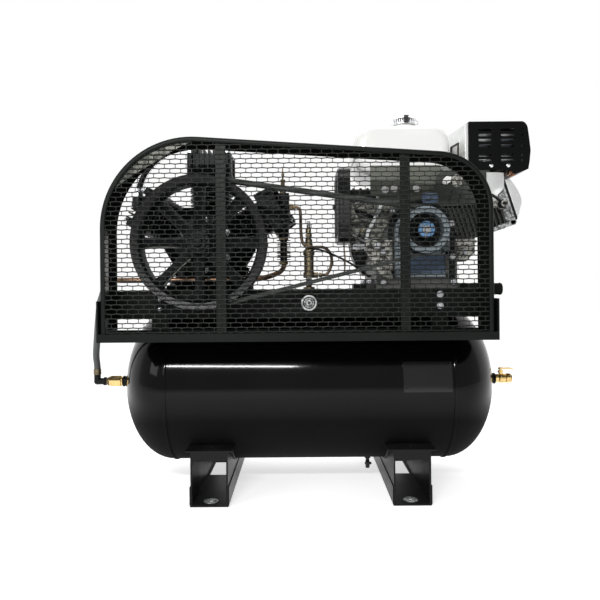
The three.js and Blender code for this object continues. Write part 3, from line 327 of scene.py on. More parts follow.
# ---------------------------------------------------------------- solids
def smooth_route(points, steps=12):
    """Catmull-Rom curve through the given points."""
    knots = [Vector(p) for p in points]
    knots = [2 * knots[0] - knots[1], *knots, 2 * knots[-1] - knots[-2]]
    route = []
    for a, b, c, d in zip(knots, knots[1:], knots[2:], knots[3:]):
        for k in range(steps):
            t = k / steps
            route.append(0.5 * (2 * b + (c - a) * t + (2 * a - 5 * b + 4 * c - d) * t ** 2
                                + (3 * b - a - 3 * c + d) * t ** 3))
    return [*route, knots[-2]]


def circle(radius, sides, start=0.0):
    angles = [start + 2 * math.pi * k / sides for k in range(sides)]
    return [(radius * math.cos(a), radius * math.sin(a)) for a in angles]


def rounded(x0, x1, y0, y1, radius, steps=5):
    """Rectangle with round corners, anticlockwise."""
    corners = [(x1 - radius, y1 - radius), (x0 + radius, y1 - radius),
               (x0 + radius, y0 + radius), (x1 - radius, y0 + radius)]
    points = []
    for quarter, (cx, cy) in enumerate(corners):
        for k in range(steps + 1):
            angle = (quarter + k / steps) * math.pi / 2
            points.append((cx + radius * math.cos(angle), cy + radius * math.sin(angle)))
    return points


def arc(cx, cy, radius, start, end, steps):
    """Points along an arc, angles in degrees."""
    angles = [math.radians(start + (end - start) * k / steps) for k in range(steps + 1)]
    return [(cx + radius * math.cos(a), cy + radius * math.sin(a)) for a in angles]


def turn(angle, axis, about):
    """A turn in degrees about an axis through a point."""
    there, back = Matrix.Translation(about), Matrix.Translation(-Vector(about))
    return there @ Matrix.Rotation(math.radians(angle), 4, axis) @ back


PLANES = {  # a flat (u, v) outline and a distance along the plane's normal, as a point
    "xz": lambda u, v, w: (u, w, v),
    "yz": lambda u, v, w: (w, u, v),
    "xy": lambda u, v, w: (u, v, w),
}


class Solid:
    """A piece being drawn in millimetres; place moves whatever is added after it is set."""

    def __init__(self, place=None):
        self.mesh = bmesh.new()
        self.place = place or Matrix.Identity(4)

    def add(self, points, faces):
        verts = [self.mesh.verts.new(self.place @ Vector(p)) for p in points]
        for face in faces:
            self.mesh.faces.new([verts[i] for i in face])

    def rings(self, rings, closed=False):
        """Skins a list of point rings; open ends get caps."""
        sides, count = len(rings[0]), len(rings)
        faces = [
            (i * sides + k, i * sides + (k + 1) % sides,
             (i + 1) % count * sides + (k + 1) % sides, (i + 1) % count * sides + k)
            for i in range(count if closed else count - 1) for k in range(sides)
        ]
        if not closed:
            faces += [tuple(range(sides)), tuple((count - 1) * sides + k for k in range(sides))]
        self.add([p for ring in rings for p in ring], faces)

    def prism(self, outline, low, high, plane="xz", holes=()):
        """A flat outline, with holes if any, pushed from low to high along its normal."""
        point = PLANES[plane]
        loops = [list(outline), *[list(hole) for hole in holes]]
        flat = [p for loop in loops for p in loop]
        points = [point(u, v, low) for u, v in flat] + [point(u, v, high) for u, v in flat]
        total = len(flat)
        if holes:
            caps = tessellate_polygon([[Vector((u, v, 0)) for u, v in loop] for loop in loops])
        else:
            caps = [tuple(range(total))]
        faces = [tuple(cap) for cap in caps] + [tuple(i + total for i in cap) for cap in caps]
        first = 0
        for loop in loops:
            for k in range(len(loop)):
                a, b = first + k, first + (k + 1) % len(loop)
                faces.append((a, b, b + total, a + total))
            first += len(loop)
        self.add(points, faces)

    def block(self, x0, x1, y0, y1, z0, z1):
        self.prism([(x0, z0), (x1, z0), (x1, z1), (x0, z1)], y0, y1)

    def lathe(self, profile, start=(0, 0, 0), axis=Z, sides=48, closed=False):
        """Turns a profile of (radius, distance along the axis); a radius of 0 ends on the axis."""
        start, axis = Vector(start), Vector(axis).normalized()
        across = axis.orthogonal().normalized()
        other = axis.cross(across)
        spokes = [across * u + other * v for u, v in circle(1, sides)]
        points, places = [], []
        for radius, along in profile:
            places.append(len(points))
            middle = start + axis * along
            points += [middle + spoke * radius for spoke in spokes] if radius > 1e-6 else [middle]
        faces = []
        pairs = list(zip(range(len(profile)), range(1, len(profile))))
        if closed:
            pairs.append((len(profile) - 1, 0))
        for i, j in pairs:
            a, b = places[i], places[j]
            open_a, open_b = profile[i][0] > 1e-6, profile[j][0] > 1e-6
            for k in range(sides):
                n = (k + 1) % sides
                if open_a and open_b:
                    faces.append((a + k, a + n, b + n, b + k))
                elif open_a:
                    faces.append((a + k, a + n, b))
                elif open_b:
                    faces.append((a, b + n, b + k))
        self.add(points, faces)

    def bar(self, start, end, radius, sides=24, end_radius=None):
        along = Vector(end) - Vector(start)
        length = along.length
        end_radius = radius if end_radius is None else end_radius
        self.lathe([(0, 0), (radius, 0), (end_radius, length), (0, length)], start, along, sides)

    def sweep(self, route, section, closed=False):
        """Carries a flat section along a route without twisting it; a number is a round bar's radius."""
        outline = circle(section, 16) if isinstance(section, (int, float)) else section
        points = [Vector(p) for p in route]
        count = len(points)
        rings, side = [], None
        for i, point in enumerate(points):
            before = points[i - 1] if i or closed else point
            after = points[(i + 1) % count] if i < count - 1 or closed else point
            along = (after - before).normalized()
            if side is None:
                side = along.orthogonal()
            side = (side - along * side.dot(along)).normalized()
            other = along.cross(side)
            rings.append([point + side * u + other * v for u, v in outline])
        self.rings(rings, closed)

    def hexagon(self, at, axis, across, height, washer=0.0):
        """Bolt head or nut with a chamfered top, on a washer if one is given."""
        at, axis = Vector(at), Vector(axis).normalized()
        radius = across / math.sqrt(3)
        if washer:
            self.bar(at, at + axis * 1.6, washer, 24)
            at = at + axis * 1.6
        self.bar(at, at + axis * height * 0.85, radius, 6)
        self.bar(at + axis * height * 0.85, at + axis * height, radius, 6, radius * 0.86)

    def make(self, name, finish, replaces=None, slot=None, body=None, bevel=0.0, segments=2, angle=32):
        """Ends the drawing: faces outward, moves to the frame, rounds edges and rides on a body."""
        mesh = bpy.data.meshes.new(name)
        bmesh.ops.recalc_face_normals(self.mesh, faces=self.mesh.faces)
        bmesh.ops.transform(self.mesh, matrix=Matrix.Translation(ORIGIN) @ Matrix.Scale(MM, 4),
                            verts=self.mesh.verts)
        sharp = math.radians(angle)
        for edge in self.mesh.edges:
            edge.smooth = not (edge.is_manifold and edge.calc_face_angle(0) > sharp)
        for face in self.mesh.faces:
            face.smooth = True
        self.mesh.to_mesh(mesh)
        self.mesh.free()
        piece = bpy.data.objects.new(name, mesh)
        bpy.context.collection.objects.link(piece)
        mesh.materials.append(FINISHES[finish])
        if bevel:
            rounding = piece.modifiers.new("edges", "BEVEL")
            rounding.width, rounding.segments = bevel * MM, segments
            rounding.limit_method, rounding.angle_limit = "ANGLE", sharp
            rounding.harden_normals = True
            rounding.use_clamp_overlap = True
        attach(piece, body or BODY_OF.get(replaces, "frame"))
        if replaces:
            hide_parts(replaces)
        return piece


BODY_OF = {node: body for body, nodes in frame["record"]["behaviour"]["bodies"].items() for node in nodes}


def refine(node, finish, bevel=1.2, segments=2, extra=None):
    """A CAD node whose form is right, redrawn from its own mesh with rounded edges and anything extra."""
    solid = Solid()
    solid.mesh.from_mesh(frame["nodes"][node].data)
    bmesh.ops.remove_doubles(solid.mesh, verts=solid.mesh.verts, dist=2e-6)
    bmesh.ops.dissolve_limit(solid.mesh, angle_limit=math.radians(1), verts=solid.mesh.verts,
                             edges=solid.mesh.edges)
    to_drawing = Matrix.Scale(1 / MM, 4) @ Matrix.Translation(-ORIGIN)
    bmesh.ops.transform(solid.mesh, matrix=to_drawing, verts=solid.mesh.verts)
    if extra:
        extra(solid)
    solid.make(f"{node}_rounded", finish, node, bevel=bevel, segments=segments, angle=25)


# ---------------------------------------------------------------- receiver tank
def weld(solid, route, width=7.0, height=2.0, closed=True):
    """A run of weld: overlapping scales along a route, lying on a surface."""
    section = [(width / 2 * u, height * v) for u, v in circle(1, 10)]
    points = [Vector(p) for p in route]
    count = len(points)
    rings = []
    for i, point in enumerate(points):
        along = (points[(i + 1) % count] - points[i - 1]).normalized()
        if not closed and i in (0, count - 1):
            along = (points[min(i + 1, count - 1)] - points[max(i - 1, 0)]).normalized()
        side = X if abs(along.x) < 0.7 else Y
        side = (side - along * side.dot(along)).normalized()
        out = along.cross(side)
        swell = 1.0 if i % 2 else 0.86
        rings.append([point + side * (u * swell) + out * (v * swell) for u, v in section])
    solid.rings(rings, closed)


def tank():
    """Rolled shell, and dished heads with their bungs and seam welds."""
    axis, sides, weld_scales, steps = (0, 0, TANK_AXIS), 144, 320, 20
    inner = TANK_RADIUS - WALL
    shell = Solid(TANK)
    shell.lathe([(inner, -SEAM), (TANK_RADIUS, -SEAM), (TANK_RADIUS, SEAM), (inner, SEAM)],
                axis, X, sides, True)
    shell.make("tank_shell_rolled", "tank_enamel", "tank_shell")
    shoulder = SEAM + FLANGE
    for name, side in SIDES:
        head = Solid(TANK)
        quarter = [k / steps * math.pi / 2 for k in range(steps + 1)]
        outer = [(TANK_RADIUS * math.cos(a), shoulder + HEAD_DEPTH * math.sin(a)) for a in quarter]
        dished = [(inner * math.cos(a), shoulder + (HEAD_DEPTH - WALL) * math.sin(a))
                  for a in reversed(quarter)]
        start = SEAM + 0.3
        outer[-1], dished[0] = (0, outer[-1][1]), (0, dished[0][1])
        head.lathe([(inner, start), (TANK_RADIUS, start), *outer], axis, X * side, sides)
        head.lathe([(0, dished[0][1]), *dished[1:], (inner, start)], axis, X * side, sides)
        tip = TANK_TIP - 3
        head.lathe([(0, tip), (27, tip), (25, tip + 3), (22, tip + 8), (20, tip + 12), (0, tip + 12)],
                   axis, X * side, 48)
        head.make(f"{name}_head_pressed", "tank_enamel", f"{name}_tank_head")
        bead = Solid(TANK)
        ring = [(side * SEAM, y, TANK_AXIS + z) for y, z in circle(TANK_RADIUS + 0.2, weld_scales)]
        weld(bead, ring, 8, 2.2)
        bead.make(f"{name}_seam_weld", "tank_enamel", slot="black_gloss")


def data_plate():
    """Bare plate rolled to the shell, with a fine raised edge and four rivets."""
    def band(inner, outer, low, high):
        rim = arc(0, TANK_AXIS, outer, low, high, 16)
        return [*rim, *reversed(arc(0, TANK_AXIS, inner, low, high, 16))]

    left, right, low, high, edge = 217, 331, 159.5, 180, 0.8
    plate = Solid(TANK)
    plate.prism(band(TANK_RADIUS + 0.5, TANK_RADIUS + 1.6, low, high), left, right, "yz")
    for angles in ((low, low + edge), (high - edge, high)):
        plate.prism(band(TANK_RADIUS + 1.4, TANK_RADIUS + 2, *angles), left, right, "yz")
    for x in (left, right - 2.4):
        plate.prism(band(TANK_RADIUS + 1.4, TANK_RADIUS + 2, low + edge, high - edge), x, x + 2.4, "yz")
    for x, angle in product((left + 6, right - 6), (low + 2.3, high - 2.3)):
        y, z = (f(math.radians(angle)) for f in (math.cos, math.sin))
        start = (x, y * (TANK_RADIUS + 1), TANK_AXIS + z * (TANK_RADIUS + 1))
        plate.lathe([(0, 0), (3, 0), (2.4, 1.4), (0, 2)], start, (0, y, z), 16)
    plate.make("data_plate_bare", "bare_plate", "data_plate")


def thread(solid, start, axis, radius, length):
    """Pipe thread, as ridges."""
    pitch = 2.2
    count = int(length / pitch)
    profile = [(0, 0)]
    for k in range(count):
        profile += [(radius - 0.8, k * pitch), (radius, (k + 0.5) * pitch)]
    profile += [(radius - 0.8, count * pitch), (0, count * pitch)]
    solid.lathe(profile, start, axis, 28)


def tank_fittings():
    """Nipples in the heads, check valve and elbow on the left, ball valve on the right."""
    for name, side in SIDES:
        nipple = Solid(TANK)
        nipple.lathe([(0, 0), (12, 0), (13, 1), (13, 7), (14.5, 8), (14.5, 11), (13, 12), (0, 12)],
                     (side * (TANK_TIP + 9), 0, TANK_AXIS), X * side, 36)
        nipple.make(f"{name}_nipple", "painted_iron", slot="black_pipe")
    start = BUNG_END + 0.3
    valve = Solid(TANK)
    valve.lathe([(0, 0), (11, 0), (12, 1), (12, 4), (11, 5), (0, 5)], (-start, 0, TANK_AXIS), -X, 36)
    valve.hexagon((-start - 4.6, 0, TANK_AXIS), -X, 27, 30)
    valve.make("check_valve_brass", "brass", "check_valve", bevel=0.5)
    tail = Solid(TANK)
    tail.lathe([(0, 34), (11, 34), (11, 36), (12, 37), (12, 38.5), (9.5, 40), (0, 40)],
               (-start, 0, TANK_AXIS), -X, 32)
    thread(tail, (-start - 40, 0, TANK_AXIS), -X, 9.5, 6)
    tail.make("check_valve_tail", "old_brass", slot="brass")
    elbow = Solid()
    corner, end, top = (HOSE_X, 0, TANK_AXIS), (-540, 0, TANK_AXIS), (HOSE_X, 0, HOSE_END_Z)
    elbow.bar(end, corner, 8.6)
    elbow.lathe([(0, 0), (10.4, 0), (11, 1), (11, 6), (9, 7.5), (0, 7.5)], end, -X, 32)
    elbow.bar(corner, top, 8.6)
    elbow.lathe([(0, -9), (3.5, -8.2), (6.4, -6.4), (8.3, -3.4), (9, 0), (8.3, 3.4), (6.4, 6.4), (3.5, 8.2),
                 (0, 9)], corner, Y, 32)
    elbow.make("inlet_elbow_cast", "painted_iron", "inlet_elbow")
    body = Solid(TANK)
    right = (start, 0, TANK_AXIS)
    body.hexagon(right, X, 21, 9)
    body.lathe([(0, 8), (9, 8), (11.5, 11), (12.4, 15), (12.4, 21), (11.5, 26), (9, 30), (0, 30)],
               right, X, 40)
    body.hexagon((start + 28, 0, TANK_AXIS), X, 23.5, 12)
    body.lathe([(0, 40), (10.5, 40), (10.5, 43), (8, 43), (8, 41), (0, 41)], right, X, 32)
    body.bar((start + 15, 0, TANK_AXIS + 10), (start + 15, 0, TANK_AXIS + 23), 5.2)
    body.hexagon((start + 15, 0, TANK_AXIS + 15), Z, 13, 5)
    body.make("outlet_valve_brass", "brass", "outlet_valve_body", bevel=0.5)
    lever = Solid(TANK)
    pivot, low = start + 15, TANK_AXIS + 24.6
    lever.prism([*arc(pivot, 0, 7, 60, 300, 12), (pivot + 12, -4), (pivot + 27, -4.6), (pivot + 27, 4.6),
                 (pivot + 12, 4)], low, low + 3.4, "xy")
    lever.prism([(pivot + 26, low), (pivot + 29, low - 0.6), (pivot + 32.4, low - 4), (pivot + 33, low - 1.6),
                 (pivot + 30, low + 2), (pivot + 26, low + 2.6)], -4.6, 4.6)
    lever.hexagon((pivot, 0, low + 2.4), Z, 7, 2)
    lever.make("outlet_lever_brass", "brass", "outlet_valve_lever", bevel=0.4)


def drain_cock():
    """Cock under the shell and the key in front of it."""
    x, top = 153, TANK_AXIS - TANK_RADIUS
    body = Solid(TANK)
    body.hexagon((x, 0, top - 10.3), Z, 14, 10)
    body.lathe([(0, 0), (4.6, 0), (5.4, 1), (5.6, 12), (5.6, 18), (4.8, 20), (4.8, 26), (0, 26)],
               (x, 0, top - 36.3), Z, 28)
    body.bar((x, 0, top - 20), (x, -5.8, top - 20), 4.4, 20)
    body.make("drain_cock_brass", "dull_black", "drain_cock_body", bevel=0.4)
    key = Solid(TANK)
    z = top - 20
    key.bar((x, -6, z), (x, -14, z), 2.6, 16)
    key.prism(rounded(x - 9, x + 9, z - 3.4, z + 3.4, 3, 4), -17, -13.5)
    key.make("drain_key_brass", "dull_black", "drain_cock_key", bevel=0.6)


def stand():
    """Feet with their washers, shelf bolts and welds to the tank, and the deck."""
    for name, side in SIDES:
        refine(f"{name}_foot", "foot_paint", bevel=1.6, segments=3)
        washers = Solid(TANK)
        for end in (-1, 1):
            place = (side * FOOT_X, end * FOOT_SLOT_Y, 4.1)
            washers.lathe([(6.6, 0), (17, 0), (17, 1), (15.5, 1.9), (6.6, 1.9)], place, Z, 40, True)
        washers.make(f"{name}_foot_washers", "clean_casting", slot="zinc")
        bolt = Solid(TANK)
        bolt.lathe([(0, 0), (14, 0), (14, 1.6), (8.6, 2.4), (8.2, 6), (6, 7), (0, 7)],
                   (side * (FOOT_X - 5), -121, SHELF_Z), Z, 6, True)
        bolt.make(f"{name}_shelf_bolt", "clean_casting", slot="zinc", bevel=0.5)
        beads = Solid(TANK)
        for edge in (-43.5, 43.5):
            route = [(side * FOOT_X + edge * 1.02, y, TANK_AXIS - math.sqrt(TANK_RADIUS ** 2 - y * y) - 1.5)
                     for y in range(-142, 143, 3)]
            weld(beads, route, 7, 2.6, closed=False)
        beads.make(f"{name}_foot_welds", "frame_paint", slot="black_satin")
    refine("deck", "frame_paint", bevel=2.2, segments=3)


# ---------------------------------------------------------------- belt guard
def hoop(inset, steps=26):
    """The guard's outline, drawn in by a distance, from its lower left round to its lower right."""
    tilt = math.degrees(GUARD_SLOPE)
    left_x = GUARD_LEFT + LEFT_ARC
    right_x = GUARD_RIGHT - RIGHT_ARC
    top = LEFT_ARC_Z + LEFT_ARC / math.cos(GUARD_SLOPE) - (right_x - left_x) * math.tan(GUARD_SLOPE)
    right_z = top - RIGHT_ARC / math.cos(GUARD_SLOPE)
    return [
        (GUARD_LEFT + inset, GUARD_BOTTOM),
        *arc(left_x, LEFT_ARC_Z, LEFT_ARC - inset, 180, 90 - tilt, steps),
        *arc(right_x, right_z, RIGHT_ARC - inset, 90 - tilt, 0, steps),
        (GUARD_RIGHT - inset, GUARD_BOTTOM),
    ]


def guard_hoop():
    """Rolled strip with its front lip, and what it carries: a pale crescent and patch of painted light, a
    sheet of painted shade, the buffer.
    """
    strip = Solid()
    section = [(0, GUARD_FRONT + 5), (0.4, GUARD_FRONT + 3), (1.5, GUARD_FRONT + 1.3),
               (3.2, GUARD_FRONT + 0.3), (5, GUARD_FRONT), (GUARD_LIP - 0.6, GUARD_FRONT),
               (GUARD_LIP, GUARD_FRONT + 0.6), (GUARD_LIP, GUARD_FRONT + 2.4),
               (GUARD_LIP - 0.6, GUARD_FRONT + 3), (4.4, GUARD_FRONT + 3), (GUARD_SHEET, GUARD_FRONT + 4.4),
               (GUARD_SHEET, GUARD_BACK), (0, GUARD_BACK)]
    outlines = [hoop(inset) for inset, _ in section]
    strip.rings([[(line[k][0], y, line[k][1]) for line, (_, y) in zip(outlines, section)]
                 for k in range(len(outlines[0]))])
    strip.make("guard_hoop_rolled", "frame_paint", "guard_hoop", angle=50)
    # Pale crescent behind the mesh on the upper left arc: painted light, for the inner sheet lit near the
    # lip.
    lit_plate = Solid()
    outer, inner, steps, lining_radius = [], [], 24, LEFT_ARC - GUARD_SHEET
    for k in range(steps + 1):
        angle, swell = math.radians(152 - 62 * k / steps), 8 + 23 * math.sin(math.pi * k / steps)
        for edge, radius in ((outer, lining_radius - 0.4), (inner, lining_radius - swell)):
            edge.append((GUARD_LEFT + LEFT_ARC + radius * math.cos(angle),
                         LEFT_ARC_Z + radius * math.sin(angle)))
    lit_plate.prism([*outer, *reversed(inner)], GUARD_FRONT + 7.4, GUARD_FRONT + 9.4)
    lit_plate.make("guard_corner_painted_light", "painted_lit_sheet", slot="black_satin")
    # Pale grey patch on the left inner sheet behind the lip: painted sheen, for light caught by the sheet.
    scuffs_and_sheen = Solid()
    scuffs_and_sheen.block(GUARD_LEFT + GUARD_SHEET - 0.2, GUARD_LEFT + GUARD_SHEET + 0.4, -284, -240, 503, 626)
    scuffs_and_sheen.make("guard_hoop_painted_sheen", "painted_sheen_grey", slot="black_satin")
    # Near-black sheet with no sheen, inside the hoop and down its left side: painted shade.
    shade_sheet = Solid()
    shade_sheet.block(GUARD_LEFT + GUARD_SHEET - 0.3, GUARD_LEFT + GUARD_SHEET + 0.5, -236, GUARD_BACK - 0.5,
                 GUARD_BOTTOM + 20, LEFT_ARC_Z)
    deep, shallow = GUARD_SHEET + 0.5, GUARD_SHEET - 0.3
    outlines = [hoop(inset)[1:] for inset in (deep, deep, shallow, shallow)]
    depths = (GUARD_FRONT + 4.5, GUARD_BACK - 0.5, GUARD_BACK - 0.5, GUARD_FRONT + 4.5)
    shade_sheet.rings([[(line[k][0], y, line[k][1]) for line, y in zip(outlines, depths)]
                  for k in range(len(outlines[0]))])
    shade_sheet.make("guard_hoop_painted_shade", "painted_shade_black", slot="black_satin", angle=50)
    # The rubber buffer wears the same near-black paint with no sheen: painted shade on it.
    stop = Solid()
    right = (GUARD_RIGHT - 0.5, -232, 501)
    stop.lathe([(0, 0), (16, 0), (16, 3), (14.5, 4), (13.2, 8), (13, 26), (14, 30), (12.5, 33.5), (8, 34.5),
                (0, 34.5)], right, X, 36)
    stop.make("guard_buffer", "painted_shade_black", slot="black_rubber", bevel=0.4)


def clipped(points, boundary):
    """The part of a flat polygon (x, z, y) inside a convex boundary that runs clockwise."""
    for (ax, az), (bx, bz) in zip(boundary, [*boundary[1:], boundary[0]]):
        sides = [(bx - ax) * (z - az) - (bz - az) * (x - ax) for x, z, _ in points]
        kept = []
        for i, point in enumerate(points):
            before, last = sides[i - 1], points[i - 1]
            if (before <= 0) != (sides[i] <= 0):
                t = before / (before - sides[i])
                kept.append(tuple(p + (q - p) * t for p, q in zip(last, point)))
            if sides[i] <= 0:
                kept.append(point)
        points = kept
        if len(points) < 3:
            return []
    return points


def guard_panel():
    """Expanded metal: bricks of opening between waved strands that lean forward at the bottom."""
    panel = Solid()
    middle_y = GUARD_FRONT + GUARD_SHEET + 0.3 + 1.25
    inset = GUARD_SHEET + 0.8
    boundary = hoop(inset, 16)
    half, rise, crest, lean, fade = MESH_WIDTH / 2, MESH_ROW / 2, 0.6, 0.8, 4
    bond_end, top, corner = rise - crest, rise + crest, 1.4
    quarter_outer = [(half, bond_end - corner), (half, bond_end), (half / 2, rise)]
    quarter_inner = [(half - BOND / 2, bond_end - corner),
                     (half - BOND / 2 - 1.3, bond_end - STRAND * 0.42), (half / 2, rise - STRAND / 2)]
    crown_outer, crown_inner = (0, top), (0, top - STRAND * 0.55)

    def ring(quarter, crown):
        upper = [*quarter, crown, *[(-x, z) for x, z in reversed(quarter)]]
        return [*upper, *[(-x, -z) for x, z in upper]]

    outer, inner = ring(quarter_outer, crown_outer), ring(quarter_inner, crown_inner)
    rows = int((LEFT_ARC_Z + LEFT_ARC - GUARD_BOTTOM) / MESH_ROW) + 2
    columns = int((GUARD_RIGHT - GUARD_LEFT) / MESH_WIDTH) + 2
    left, right = GUARD_LEFT + inset, GUARD_RIGHT - inset
    safe_z = 720  # between the arcs, all openings under this height are whole
    for row in range(rows):
        z0 = GUARD_BOTTOM + 2 + row * MESH_ROW
        for column in range(columns):
            x0 = GUARD_LEFT + (column + (row % 2) / 2) * MESH_WIDTH
            beside = x0 - half < left + LEFT_ARC or x0 + half > right - LEFT_ARC
            near = beside or row < 2 or z0 > safe_z
            for k in range(len(outer)):
                n = (k + 1) % len(outer)
                points = []
                for (x, z), tilt in ((outer[k], 0), (outer[n], 0), (inner[n], 1), (inner[k], 1)):
                    away = min(1, abs(x - half) / fade, abs(x + half) / fade)  # the bonds stay flat
                    shift = -tilt * lean * (1 if z > 0 else -1) * away
                    points.append((x0 + x, z0 + z, middle_y + shift))
                if near:
                    points = clipped(points, boundary)
                if points:
                    panel.add([(x, y, z) for x, z, y in points], [tuple(range(len(points)))])
    bmesh.ops.remove_doubles(panel.mesh, verts=panel.mesh.verts, dist=0.02)
    piece = panel.make("guard_mesh_expanded", "guard_mesh_paint", "guard_mesh", angle=60)
    sheet = piece.modifiers.new("sheet", "SOLIDIFY")
    sheet.thickness, sheet.offset = 1.7 * MM, 0


def guard_fittings():
    """Straps, pan, the bolts of its arms, and the bare badge with its rings."""
    for node, bevel in (("guard_strap_left", 0.5), ("guard_strap_right", 0.5), ("guard_pan", 1.0)):
        refine(node, "frame_paint", bevel)
    bolts = Solid()
    spots = ((-354, 459, 7, 4.4), (-354, 481, 6, 4), (304, 462, 11, 8), (304, 489, 11, 8))
    for x, z, across, washer in spots:
        bolts.hexagon((x, -183.8, z), -Y, across, 6, washer)
    bolts.make("guard_arm_bolts", "zinc_plate", slot="zinc", bevel=0.4)
    badge_x, badge_z, badge_face = -5, 474, -289
    badge = Solid()
    badge.lathe([(0, -287), (16.6, -287), (17, -287.5), (17, -289.4), (16, -290.2), (14, -290.2),
                 (13.2, -289.2), (6, -289.2), (5, -289.8), (0, -289.9)], (badge_x, 0, badge_z), Y, 48)
    badge.make("guard_badge_bare", "clean_casting", "guard_badge")
    rings = Solid()
    for inner, outer in ((1, 3), (6.4, 8), (11, 13)):
        rings.lathe([(inner, badge_face), (outer, badge_face), (outer, badge_face - 1.1),
                     (inner, badge_face - 1.1)], (badge_x, 0, badge_z), Y, 48, True)
    for x, z in circle(9.6, 12):
        spot = (badge_x + x, badge_z + z)
        rings.bar((spot[0], badge_face, spot[1]), (spot[0], badge_face - 1, spot[1]), 1.1, 10)
    rings.make("guard_badge_rings", "painted_iron", slot="black_iron")


# ---------------------------------------------------------------- belt drive
def groove_profile(inner, outer, half, lips=0.8):
    """A grooved rim's profile, closed, with two V grooves and softened corners."""
    floor, half_floor, half_mouth = outer - 11, 5, 8.5
    profile = [(inner, -half), (outer - lips, -half), (outer, -half + lips)]
    for centre in (-GROOVE_STEP / 2, GROOVE_STEP / 2):
        profile += [(outer, centre - half_mouth), (floor, centre - half_floor),
                    (floor, centre + half_floor), (outer, centre + half_mouth)]
    return [*profile, (outer, half - lips), (outer - lips, half), (inner, half)]


def flywheel():
    """Cast wheel: grooved rim with a turned face, hub with its boss, and eight fan spokes."""
    centre = (PUMP_X, DRIVE_Y, PUMP_Z)
    wheel = Solid()
    rim = groove_profile(130.5, FLYWHEEL, 26)
    rim[-1:] = [(133, 26), (130.5, 22)]  # the inner back corner, chamfered
    wheel.lathe([(132.5, -19), (136, -22), *rim[1:], (130.5, -17)], centre, Y, 144, True)
    face = Solid()
    face.lathe([(136, -22.5), (150.6, -26.4), (150.6, -25.4), (136, -21.5)], centre, Y, 144, True)
    face.make("flywheel_rim_face", "wheel_enamel", slot="black_iron", body="flywheel")
    # Pale grey strips along one edge of two spokes: painted highlights.
    wear_and_highlight = Solid()
    wheel.lathe([(12, -24), (26, -24), (28, -22), (30, -14), (35, -12), (36, -10), (36, 26), (34, 28),
                 (19, 28), (12, 28)], centre, Y, 64, True)
    spokes, highlit_spokes, steps, root_radius, length = 8, (4, 5), 12, 32, 102
    for k in range(spokes):
        spoke = turn(-360 / spokes * k, Y, centre)
        rings = []
        for step in range(steps + 1):
            along = step / steps
            radius = root_radius + along * length
            root = abs(2 * along - 1) ** 3
            half = 12.5 + 4 * root
            twist = math.radians(24 + 4 * math.sin(math.pi * along))
            lean = math.cos(twist), math.sin(twist)
            blade = [(-half, -2.6), (-half + 2.5, -6), (-half + 6, -4.6), (half - 6, -4.6), (half - 2.5, -6),
                     (half, -2.6), (half, 2.6), (half - 2.5, 5), (-half + 2.5, 5), (-half, 2.6)]
            rings.append([(centre[0] + radius, centre[1] + v * lean[0] - u * lean[1],
                           centre[2] + u * lean[0] + v * lean[1]) for u, v in blade])
        wheel.place = wear_and_highlight.place = spoke
        wheel.rings(rings)
        if k in highlit_spokes:
            wear_and_highlight.sweep([ring[-5] for ring in rings[1:-1]], 1.6)
    wheel.make("flywheel_cast", "painted_iron", "flywheel", angle=38)
    wear_and_highlight.make("flywheel_painted_edge_highlights", "painted_highlight_iron", slot="black_iron", body="flywheel", angle=40)
    shaft = Solid()
    shaft.bar((PUMP_X, DRIVE_Y - 24, PUMP_Z), (PUMP_X, -101, PUMP_Z), 11.6, 40)
    shaft.bar((PUMP_X, DRIVE_Y + 28.5, PUMP_Z), (PUMP_X, -101, PUMP_Z), 18, 48)
    shaft.lathe([(0, 0), (19, 0), (19, 3), (17.5, 4), (0, 4)], (PUMP_X, DRIVE_Y - 24.2, PUMP_Z), -Y, 40)
    shaft.hexagon((PUMP_X, DRIVE_Y - 28, PUMP_Z), -Y, 19, 8)
    shaft.make("pump_shaft_ground", "painted_iron", "pump_crankshaft", bevel=0.4)


